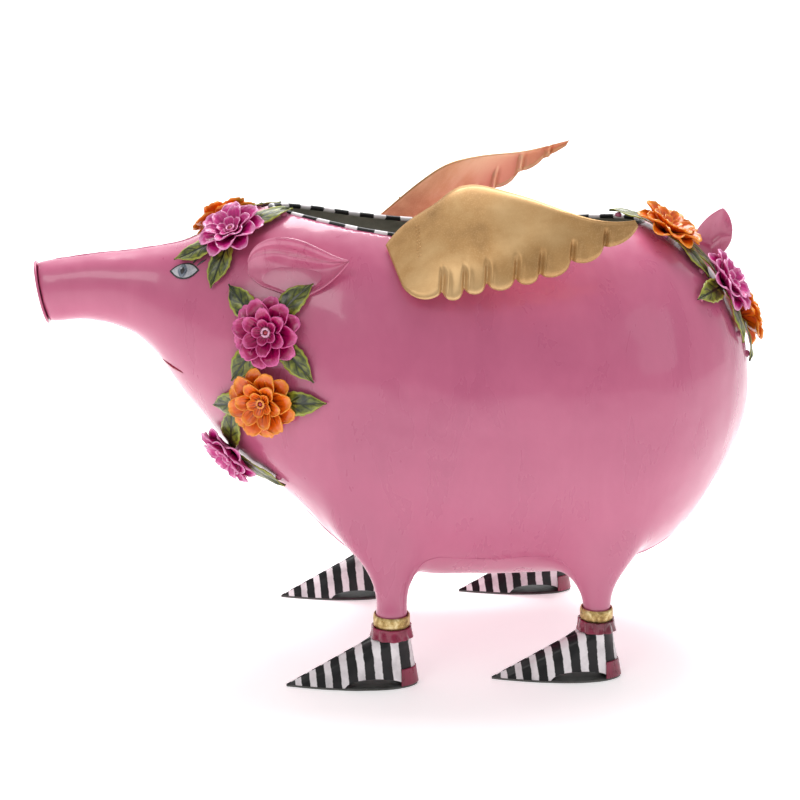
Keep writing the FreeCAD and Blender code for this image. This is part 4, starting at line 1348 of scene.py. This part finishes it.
@dataclass
class Garland:
    """Stamped flowers and leaves on short rivets, in a ring round the neck and another on the rump."""

    palette: Palette
    skin: Skin
    body: PaintedBody
    radius: float = 35.5 * MM
    hub: float = 6 * MM
    sheet: float = 0.8 * MM
    standoff: float = 4.0 * MM
    leaf_reach: float = 62 * MM
    leaf_half_width: float = 11.5 * MM
    rings: tuple[PetalRing, ...] = (
        PetalRing(1.00, 14.0, 0.0, 6, 0.0), PetalRing(0.95, 24.0, 30.0, 6, 1.6),
        PetalRing(0.66, 38.0, 12.0, 6, 3.4), PetalRing(0.36, 46.0, 40.0, 5, 5.6))
    colours: tuple[tuple[str, Bloom], ...] = (
        ("crown_left", Bloom.VIOLET), ("crown_right", Bloom.ORANGE), ("cheek_left", Bloom.MAGENTA),
        ("cheek_right", Bloom.MAGENTA), ("throat_left", Bloom.ORANGE), ("throat_right", Bloom.ORANGE),
        ("chest", Bloom.VIOLET), ("rump_left_front", Bloom.ORANGE), ("rump_left_rear", Bloom.VIOLET),
        ("rump_centre", Bloom.ORANGE), ("rump_right_rear", Bloom.VIOLET))

    def seat(self, name: str) -> Matrix:
        """Where a flower sits on the skin: Z outwards, X towards the tail."""
        low, high = box_of(f"{name}_flower")
        cloud = cloud_of(f"{name}_flower")
        centre = Vector((low + high) / 2)
        _, _, axes = np.linalg.svd(cloud - cloud.mean(axis=0), full_matrices=False)
        axis = Vector(axes[2])
        heart = Vector((centre.x, self.body.middle, (self.body.top + self.body.base) / 2 + 0.04))
        axis = axis if axis.dot(centre - heart) > 0 else -axis
        rims = (cloud - np.array(centre)) @ np.array(axis)
        foot = centre + axis * float(rims.min())
        foot, normal = self.skin.nearest(foot)
        tailward = Vector((1, 0, 0)) - normal * normal.x
        tailward.normalize()
        across = normal.cross(tailward)
        return Matrix.Translation(foot) @ Matrix((tailward, across, normal)).transposed().to_4x4()

    def petal(self, draft: Draft, ring: PetalRing, number: int, place: Matrix, seed: float,
              scale: float) -> None:
        """Adds one cupped petal with a rolled, slightly ragged edge.

        Args:
            draft: Where it goes.
            ring: The ring it belongs to.
            number: Its number in the ring.
            place: The flower's seat.
            seed: Makes its edge its own.
            scale: The flower's size, where 1 is the usual one.
        """
        along_steps, across_steps = 13, 11
        outer = self.radius * ring.share * scale
        around = 2 * math.pi * (number / ring.petals) + math.radians(ring.turn)
        tilt = math.radians(ring.tilt + 5 * wobble(Vector((number, ring.share, seed)), 0.7, seed))
        half_angle = math.pi / ring.petals * 1.12
        points, radial, across_marks = [], [], []
        length = outer - self.hub * 0.4
        for i in range(along_steps):
            share = i / (along_steps - 1)
            width = math.sin(math.pi * (0.10 + 0.80 * share ** 0.85)) ** 0.62
            for j in range(across_steps):
                side = 2 * j / (across_steps - 1) - 1
                reach = self.hub * 0.4 + length * share * (1 - 0.20 * side * side * share)
                notch = 1 - 0.035 * math.exp(-(side / 0.16) ** 2) * smooth_step(0.8, 1.0, share)
                reach *= notch * (1 + 0.03 * wobble(Vector((side, number, seed)), 0.3, seed))
                spread = half_angle * side * width * (1.06 - 0.10 * share)
                x, y = reach * math.cos(spread), reach * math.sin(spread)
                lift = max(reach - self.hub, 0.0)
                z = math.tan(tilt) * lift * (0.62 + 0.38 * share)
                z += 0.16 * outer * side * side * share
                z -= 0.10 * outer * smooth_step(0.72, 1.0, share)
                z += 0.6 * MM * wobble(Vector((x, y, 0)) + Vector((number * 0.05, 0, seed)), 7 * MM, seed)
                local = Vector((x * math.cos(around) - y * math.sin(around),
                                x * math.sin(around) + y * math.cos(around), z + ring.lift * MM * scale))
                points.append(place @ local)
                radial.append(share)
                across_marks.append(side)
        draft.add(points, grid_faces(along_steps, across_steps, flip=True),
                  radial=radial, across=across_marks)

    def flower(self, name: str, kind: Bloom, seat: Matrix, seed: float) -> None:
        """Makes one flower and its rivet."""
        finish = {Bloom.ORANGE: self.palette.orange_petal, Bloom.MAGENTA: self.palette.magenta_petal,
                  Bloom.VIOLET: self.palette.violet_petal}[kind]
        bead = self.palette.bead_orange if kind is Bloom.ORANGE else self.palette.bead_pink
        slot = "orange_flower_paint" if kind is Bloom.ORANGE else "magenta_flower_paint"
        scale = 0.93 + 0.12 * (0.5 + 0.5 * math.sin(3.7 * seed))
        base = seat @ Matrix.Translation((0, 0, self.standoff + self.sheet + 0.5 * MM))
        base = base @ Matrix.Rotation(seed * 0.9, 4, "Z")
        draft = Draft()
        for ring in self.rings:
            for number in range(ring.petals):
                self.petal(draft, ring, number, base, seed + ring.share, scale)
        draft.show(f"{name}_petals", [finish], slot, (f"{name}_flower",), self.sheet)

        heart = Draft()
        crest = (self.rings[-1].lift + 1.4) * MM
        normal = (base.to_3x3() @ UP).normalized()
        loop = [base @ Vector((3.6 * MM * math.cos(angle), 3.6 * MM * math.sin(angle), crest))
                for angle in np.linspace(0, 2 * math.pi, 24, endpoint=False)]
        rings = tube_rings(loop, lambda i, angle: (1.15 + 0.25 * math.sin(9.0 * i)) * MM, 8, closed=True)
        heart.add(rings + rings[:8], grid_faces(25, 8, closed=True))
        blob(heart, base @ Vector((0, 0, crest - 1.0 * MM)), normal, 2.1 * MM, 1.9 * MM, 12, finish=1)
        heart.show(f"{name}_heart", [bead, self.palette.lip_red], slot)

    def leaf_directions(self, name: str, seat: Matrix) -> list[float]:
        """The directions of a spray's leaves in its own plane, read from its node."""
        cloud = [seat.inverted() @ vertex.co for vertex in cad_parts[f"{name}_leaves"].data.vertices]
        tips = [point for point in cloud if math.hypot(point.x, point.y) > 0.88 * self.leaf_reach]
        groups: list[list[float]] = []
        for angle in sorted(math.atan2(point.y, point.x) for point in tips):
            if groups and angle - groups[-1][-1] < 0.3:
                groups[-1].append(angle)
            else:
                groups.append([angle])
        return [sum(group) / len(group) for group in groups]

    def leaves(self, name: str, seat: Matrix, seed: float) -> list[tuple[Vector, Vector]]:
        """Makes one spray of leaves and returns where its tack welds sit."""
        draft = Draft()
        tacks = []
        rows, columns = 26, 11
        for number, direction in enumerate(self.leaf_directions(name, seat)):
            points, radial, across_marks = [], [], []
            for i in range(rows):
                share = i / (rows - 1)
                swell = 0.10 + 0.90 * math.sin(math.pi * share ** 1.1) ** 0.85
                width = self.leaf_half_width * swell * (1 - share ** 9)
                width *= 1 + 0.05 * math.sin(share * 46.0 + seed)
                bow = 2.5 * MM * math.sin(math.pi * share) * math.sin(7.0 * seed + number)
                for j in range(columns):
                    side = 2 * j / (columns - 1) - 1
                    local = Vector((3 * MM + (self.leaf_reach - 3 * MM) * share, side * width + bow, 0))
                    turned = Matrix.Rotation(direction, 3, "Z") @ local
                    foot, normal = self.skin.nearest(seat @ turned)
                    crease = 1.3 * MM * (1 - math.exp(-(side / 0.22) ** 2)) * smooth_step(0.0, 0.25, share)
                    wave = 0.8 * MM * math.sin(share * 12.0 + 3.0 * side + seed) * abs(side)
                    lift = self.standoff + 1.5 * MM * math.sin(math.pi * share) - 1.6 * MM * share ** 3
                    points.append(foot + normal * (lift + crease + wave))
                    radial.append(share)
                    across_marks.append(side)
            draft.add(points, grid_faces(rows, columns, flip=True), radial=radial, across=across_marks)
            tip = seat @ (Matrix.Rotation(direction, 3, "Z") @ Vector((0.83 * self.leaf_reach, 0, 0)))
            tacks.append(self.skin.nearest(tip))
        hub_sides = 20
        turns = [2 * math.pi * j / hub_sides for j in range(hub_sides)]
        level = self.standoff + 0.3 * MM
        ring_points = [seat @ Vector((r * math.cos(angle), r * math.sin(angle), level))
                       for r in (2 * MM, 8 * MM) for angle in turns]
        draft.add(ring_points, grid_faces(2, hub_sides, closed=True, flip=True),
                  radial=[0.1] * len(ring_points), across=[0.5] * len(ring_points))
        draft.show(f"{name}_foliage", [self.palette.leaf], "leaf_paint", (f"{name}_leaves",), self.sheet)
        return tacks

    def build(self) -> None:
        """Makes every flower, leaf spray, rivet stem and tack weld."""
        stems, welds = Draft(), Draft()
        for number, (name, kind) in enumerate(self.colours):
            seat = self.seat(name)
            seed = 1.0 + 0.83 * number
            self.flower(name, kind, seat, seed)
            for spot, (point, normal) in enumerate(self.leaves(name, seat, seed)):
                blob(welds, point, normal, 3.4 * MM, 3.2 * MM, 12, seed=seed + spot)
            path = [seat @ Vector((0, 0, height * MM)) for height in (-1.0, 1.0, 3.0, 5.0, 8.0, 11.0)]
            rings = tube_rings(path, lambda i, angle: (4.2 if i < 3 else 1.8) * MM, 16, closed=False)
            stems.add(rings, capped_faces(len(path), 16))
        stems.show("rivet_stems", [self.palette.bead_pink], "rivet_paint", ("flower_rivets",))
        welds.show("tack_beads", [self.palette.pink], "pink_paint", ("tack_welds",))


# ------------------------------------------------------------------ shoes, cuffs and anklets
@dataclass
class Foot:
    """One foot: a striped folded shoe on a sheet sole, a heel cap, a gathered cuff and an anklet."""

    palette: Palette
    pair: str
    side: str
    columns: int = 64
    rows: int = 26
    wall: float = 1.2 * MM
    stripes: float = 7.0
    toe_bare: float = 0.10
    crease_drop: float = 6.0 * MM

    @property
    def key(self) -> str:
        """The start of this foot's node names."""
        return f"{self.pair}_{self.side}"

    def build(self) -> None:
        """Makes every piece of the foot."""
        self.shoe()
        self.sole()
        self.heel_cap()
        self.cuff()
        self.anklet()

    def stripe_place(self, share: float, level: float) -> float:
        """The stripe count at a place: bands widen towards the ankle and lean to the toe at the top."""
        share = share + 0.035 * (level - 0.5)
        return (share - self.toe_bare) * self.stripes * (1.16 - 0.16 * share) / (1.0 - self.toe_bare)

    def shoe(self) -> None:
        """Makes both side faces and the crowned top of the upper."""
        node = f"{self.key}_shoe_upper"
        low, high = box_of(node)
        forms = {sign: SheetForm(node, sign) for sign in (-1.0, 1.0)}
        grids = {sign: form.grid(self.columns, self.rows, 0.2 * MM) for sign, form in forms.items()}
        draft = Draft()
        length = high.x - low.x
        for sign, grid in grids.items():
            points, stripe = [], []
            for i in range(self.columns):
                top = grid[i, -1, 2]
                for j in range(self.rows):
                    x, y, z = grid[i, j]
                    drop = top - z
                    fold = math.exp(-((drop - self.crease_drop) / (1.6 * MM)) ** 2)
                    dent = 0.5 * MM * wobble(Vector((x, sign, z)), 22 * MM, 4.0)
                    points.append(Vector((x, y + sign * (0.45 * MM * fold + dent - 0.4 * MM), z)))
                    stripe.append(self.stripe_place((x - low.x) / length, (z - low.z) / (high.z - low.z)))
            draft.add(points, grid_faces(self.columns, self.rows, flip=sign < 0), stripe=stripe)
        self.crown(draft, grids, low, high)
        # The upper's inner side takes the bare sheet darkened as painted shade.
        draft.show(f"{self.key}_shoe", [self.palette.shoe, self.palette.sole], "striped_shoe_paint",
                   (node,), self.wall, inner_finish=1)

    def crown(self, draft: Draft, grids: dict[float, np.ndarray], low: Vector, high: Vector) -> None:
        """Closes the upper along its top with a rounded ridge between the two side faces."""
        across = 9
        points, stripe = [], []
        for i in range(self.columns):
            near, far = grids[-1.0][i, -1], grids[1.0][i, -1]
            for j in range(across):
                share = j / (across - 1)
                place = near + (far - near) * share
                lift = 0.5 * MM * math.sin(math.pi * share)
                points.append(Vector((place[0], place[1], min(place[2] + lift, high.z + 2 * MM))))
                stripe.append(self.stripe_place((place[0] - low.x) / (high.x - low.x), 1.0))
        draft.add(points, grid_faces(self.columns, across, flip=True), stripe=stripe)

    def sole(self) -> None:
        """Makes the sole: the outline of the shoe's foot as a sheet."""
        node = f"{self.key}_shoe_sole"
        low, high = box_of(node)
        columns, across = 60, 9
        points = []
        ends = edge_ends(node)
        for i in range(columns):
            share = 0.5 - 0.5 * math.cos(math.pi * i / (columns - 1))
            x = low.x + 0.3 * MM + (high.x - low.x - 0.6 * MM) * share
            near, far = crossing_range(ends, x, 1)
            for j in range(across):
                y = near + (far - near) * j / (across - 1)
                points.append(Vector((x, y, high.z + 0.25 * MM * wobble(Vector((x, y, 0)), 14 * MM, 5.0))))
        draft = Draft()
        draft.add(points, grid_faces(columns, across, flip=True))
        # The sole's bare sheet is darkened as painted shade under the shoe.
        draft.show(f"{self.key}_sole", [self.palette.sole], "bare_sheet", (node,),
                   high.z - low.z - 0.3 * MM)

    def heel_cap(self) -> None:
        """Makes the heel cap as a bent patch over the lower rear corner."""
        node = f"{self.key}_heel_cap"
        columns, rows = 26, 16
        draft = Draft()
        for sign in (-1.0, 1.0):
            grid = SheetForm(node, sign).grid(columns, rows, 0.3 * MM)
            points = [Vector((x, y + sign * 0.3 * MM * wobble(Vector((x, sign, z)), 9 * MM, 6.0), z))
                      for x, y, z in grid.reshape(-1, 3)]
            draft.add(points, grid_faces(columns, rows, flip=sign < 0))
        draft.show(f"{self.key}_heel_patch", [self.palette.magenta], "magenta_paint", (node,), 1.0 * MM)

    def band(self, node: str, flare: Callable[[float, float], float], rows: int, sides: int) -> Draft:
        """A closed band round the ankle.

        Args:
            node: The node that it follows.
            flare: Gives what is added to the radius, from the share of the height and the angle.
            rows: How many rings of points.
            sides: How many points in a ring.

        Returns:
            The band.
        """
        low, high = box_of(node)
        centre = (low + high) / 2
        radius = (high.x - low.x) / 2
        points = []
        for i in range(rows):
            share = i / (rows - 1)
            height = low.z + (high.z - low.z) * share
            for j in range(sides):
                angle = 2 * math.pi * j / sides
                reach = radius + flare(share, angle)
                points.append(Vector((centre.x + reach * math.cos(angle),
                                      centre.y + reach * math.sin(angle), height)))
        draft = Draft()
        draft.add(points, grid_faces(rows, sides, closed=True, flip=True))
        return draft

    def cuff(self) -> None:
        """Makes the gathered cuff, flared at its foot."""
        seed = 3.0 + (self.pair == "rear") + 2.0 * (self.side == "left")

        def flare(share: float, angle: float) -> float:
            """Pleats, a ragged edge and a wider foot."""
            ragged = wobble(Vector((math.cos(angle), math.sin(angle), share * 0.4)), 0.34, seed)
            pleat = math.sin(11.0 * angle + seed + 2.0 * share)
            waist = 1.6 * MM * (1.0 - share) ** 1.6
            return waist + 1.1 * MM * ragged + 0.7 * MM * pleat * (1.0 - 0.5 * share) - 0.6 * MM

        draft = self.band(f"{self.key}_sock_cuff", flare, 12, 88)
        draft.show(f"{self.key}_cuff", [self.palette.magenta], "magenta_paint",
                   (f"{self.key}_sock_cuff",), 2.0 * MM)

    def anklet(self) -> None:
        """Makes the anklet: a mottled gold band with soft edges."""

        def flare(share: float, angle: float) -> float:
            """Rounded edges and a slight unevenness."""
            rounded = -0.9 * MM * abs(2 * share - 1) ** 4
            return rounded + 0.35 * MM * wobble(Vector((math.cos(angle), math.sin(angle), share)), 0.5, 2.0)

        draft = self.band(f"{self.key}_anklet", flare, 10, 56)
        draft.show(f"{self.key}_band", [self.palette.anklet], "gold_band_paint",
                   (f"{self.key}_anklet",), 1.2 * MM)


# ------------------------------------------------------------------ face
@dataclass
class Face:
    """Painted eyes with lashes and a mouth line, laid on the skin as thin paint."""

    palette: Palette
    skin: Skin
    body: PaintedBody
    eye_place: Vector = field(default_factory=lambda: Vector((-0.2148, -0.0448, 0.3884)))
    eye_half_length: float = 13.5 * MM
    eye_half_height: float = 7.0 * MM
    paint: float = 0.35 * MM
    stroke_steps: int = 24

    def patch(self, draft: Draft, place: Vector, along: Vector, upward: Vector, half_length: float,
              half_height: float, lift: float, finish: int) -> None:
        """Adds one almond of paint that follows the skin.

        Args:
            draft: Where it goes.
            place: Its middle.
            along: The direction of its length.
            upward: The direction of its height.
            half_length: Half its length.
            half_height: Half its height at the middle.
            lift: How far it stands off the skin.
            finish: The material index.
        """
        columns, rows = 27, 9
        points = []
        for i in range(columns):
            side = 2 * i / (columns - 1) - 1
            reach = max(half_height * (1.0 - abs(side) ** 2.2), 0.15 * MM)
            for j in range(rows):
                level = 2 * j / (rows - 1) - 1
                spot = place + along * (side * half_length) + upward * (level * reach)
                foot, normal = self.skin.nearest(spot)
                points.append(foot + normal * lift)
        inward = along.cross(upward).dot(self.skin.nearest(place)[1]) < 0
        draft.add(points, grid_faces(columns, rows, flip=inward), finish)

    def stroke(self, draft: Draft, spots: Sequence[Vector], width: float, lift: float) -> None:
        """Adds a thin tapered brush stroke through some spots on the skin."""
        path = []
        for k in range(self.stroke_steps + 1):
            share = k / self.stroke_steps * (len(spots) - 1)
            i = min(int(share), len(spots) - 2)
            foot, normal = self.skin.nearest(spots[i].lerp(spots[i + 1], share - i))
            path.append(foot + normal * lift)
        rings = tube_rings(
            path, lambda i, angle: width * (0.35 + 0.65 * math.sin(math.pi * i / self.stroke_steps)),
            8, closed=False)
        draft.add(rings, grid_faces(len(path), 8, closed=True))

    def eye(self, outward: float) -> None:
        """Paints one eye and its lashes."""
        place = self.eye_place.copy()
        place.y = self.body.middle + outward * abs(self.eye_place.y - self.body.middle)
        foot, normal = self.skin.nearest(place)
        along = (Vector((1, 0, -0.22)) - normal * normal.dot(Vector((1, 0, -0.22)))).normalized()
        upward = normal.cross(along)
        upward = upward if upward.z > 0 else -upward
        draft = Draft()
        length, height = self.eye_half_length, self.eye_half_height
        self.patch(draft, foot, along, upward, length + 2 * MM, height + 1.6 * MM, self.paint, 0)
        self.patch(draft, foot, along, upward, length, height, self.paint * 2, 1)
        self.patch(draft, foot - along * 2 * MM, along, upward, 5.0 * MM, height * 0.96, self.paint * 3, 2)
        self.patch(draft, foot - along * 2 * MM, along, upward, 2.2 * MM, height * 0.5, self.paint * 4, 0)
        self.patch(draft, foot - along * 3.6 * MM + upward * 2.4 * MM, along, upward, 1.3 * MM, 1.3 * MM,
                   self.paint * 5, 3)
        for number in range(2):
            root = foot + along * (7 + 5 * number) * MM + upward * (7.4 - 2.6 * number) * MM
            tip = root + along * (7 + 2 * number) * MM + upward * (8 - 2 * number) * MM
            middle = (root + tip) / 2 - along * 1.0 * MM
            self.stroke(draft, [root, middle, tip], 0.9 * MM, self.paint)
        name = "left_eye" if outward < 0 else "right_eye"
        draft.show(name, [self.palette.eye_dark, self.palette.eye_white, self.palette.eye_iris,
                          self.palette.eye_white], "pink_paint")

    def mouth(self, outward: float) -> None:
        """Paints one half of the mouth line."""
        draft = Draft()
        reach = outward * abs(-0.024 - self.body.middle)
        spots = [Vector((-0.232, self.body.middle + reach * 0.9, 0.304)),
                 Vector((-0.231, self.body.middle + reach * 1.6, 0.294)),
                 Vector((-0.226, self.body.middle + reach * 2.2, 0.288))]
        self.stroke(draft, spots, 1.5 * MM, 0.0)
        name = "left_lip" if outward < 0 else "right_lip"
        draft.show(name, [self.palette.lip_red], "pink_paint")

    def build(self) -> None:
        """Paints the whole face."""
        for outward in (-1.0, 1.0):
            self.eye(outward)
            self.mouth(outward)


# ------------------------------------------------------------------ studio
@dataclass
class Studio:
    """A pale seamless backdrop, soft lights and the camera."""

    centre: Vector
    aim_aside: float = -7.2 * MM
    yaw: float = math.radians(5.3)
    pitch: float = math.radians(13.0)
    distance: float = 1.6
    aim_height: float = 0.249
    lens: float = 72.0
    backdrop_glow: float = 0.42
    backdrop_start: float = 1.3
    backdrop_bend: float = 1.4
    backdrop_reach: float = 7.0
    sky_strength: float = 0.42

    def light(self, name: str, place: Vector, size: tuple[float, float], power: float,
              colour: Colour) -> None:
        """Adds one soft box that faces the object.

        Args:
            name: The light's name.
            place: Where it stands.
            size: Its width and height, in metres.
            power: Its power, in watts.
            colour: Its colour.
        """
        data = bpy.data.lights.new(name, "AREA")
        data.shape = "RECTANGLE"
        data.size, data.size_y = size
        data.energy = power
        data.color = colour
        lamp = bpy.data.objects.new(name, data)
        bpy.context.scene.collection.objects.link(lamp)
        lamp.location = place
        aim = self.centre + UP * self.aim_height - place
        lamp.rotation_euler = aim.to_track_quat("-Z", "Y").to_euler()

    def backdrop(self) -> None:
        """Adds a pale floor that sweeps up into a wall behind the object, with no line between them."""
        canvas = Canvas("pale_backdrop")
        canvas.set(Base_Color=(0.90, 0.90, 0.90), Roughness=0.6, Specular_IOR_Level=0.2,
                   Emission_Color=(1.0, 1.0, 1.0), Emission_Strength=self.backdrop_glow)
        bend = [(self.backdrop_start + self.backdrop_bend * math.sin(angle),
                 self.backdrop_bend * (1 - math.cos(angle))) for angle in np.linspace(0, math.pi / 2, 24)]
        profile = [(-self.backdrop_reach, 0.0), *bend, (bend[-1][0], self.backdrop_reach)]
        sides = (-self.backdrop_reach, self.backdrop_reach)
        points = [Vector((across, y, z)) for y, z in profile for across in sides]
        draft = Draft()
        draft.add(points, grid_faces(len(profile), 2))
        screen = bpy.data.objects.new("backdrop", draft.mesh("backdrop", [canvas.material]))
        bpy.context.scene.collection.objects.link(screen)

    def camera(self) -> None:
        """Adds the camera."""
        data = bpy.data.cameras.new("camera")
        data.lens = self.lens
        camera = bpy.data.objects.new("camera", data)
        bpy.context.scene.collection.objects.link(camera)
        level = math.cos(self.pitch)
        forward = Vector((math.sin(self.yaw) * level, math.cos(self.yaw) * level, -math.sin(self.pitch)))
        aim = self.centre + Vector((self.aim_aside, 0.0, self.aim_height))
        camera.location = aim - forward * self.distance
        camera.rotation_euler = forward.to_track_quat("-Z", "Y").to_euler()
        bpy.context.scene.camera = camera

    def build(self) -> None:
        """Sets up backdrop, sky, lights and camera."""
        self.backdrop()
        world = bpy.data.worlds.new("studio")
        bpy.context.scene.world = world
        world.use_nodes = True
        sky = world.node_tree.nodes["Background"]
        sky.inputs["Color"].default_value = (1.0, 1.0, 1.0, 1.0)
        sky.inputs["Strength"].default_value = self.sky_strength
        self.light("key", Vector((-1.5, -1.9, 2.2)), (1.3, 1.0), 13.0, (1.0, 0.99, 0.97))
        self.light("fill", Vector((2.1, -1.6, 1.3)), (1.2, 1.4), 4.0, (1.0, 0.99, 1.0))
        self.light("top", Vector((0.2, 0.9, 2.6)), (1.8, 1.4), 78.0, (1.0, 1.0, 1.0))
        self.camera()
        bpy.context.scene.view_settings.view_transform = "Standard"


def main() -> None:
    """Builds every piece of the planter and the studio round it."""
    logging.basicConfig(level=logging.INFO, format="%(message)s")
    low, high = (Vector(corner) for corner in cad_bounds)
    Studio(Vector(((low.x + high.x) / 2, (low.y + high.y) / 2, 0.0))).build()
    palette = Palette()
    body = PaintedBody(palette)
    skin = body.build()
    Seams(palette, body, skin).build()
    SnoutPlate(palette).build()
    WireRim(palette).build()
    for side in ("left", "right"):
        Wing(palette, side).build()
        Ear(palette, side).build()
        for pair in ("front", "rear"):
            Foot(palette, pair, side).build()
    Tail(palette).build()
    Garland(palette, skin, body).build()
    Face(palette, skin, body).build()


if __name__ == "__main__":
    main()
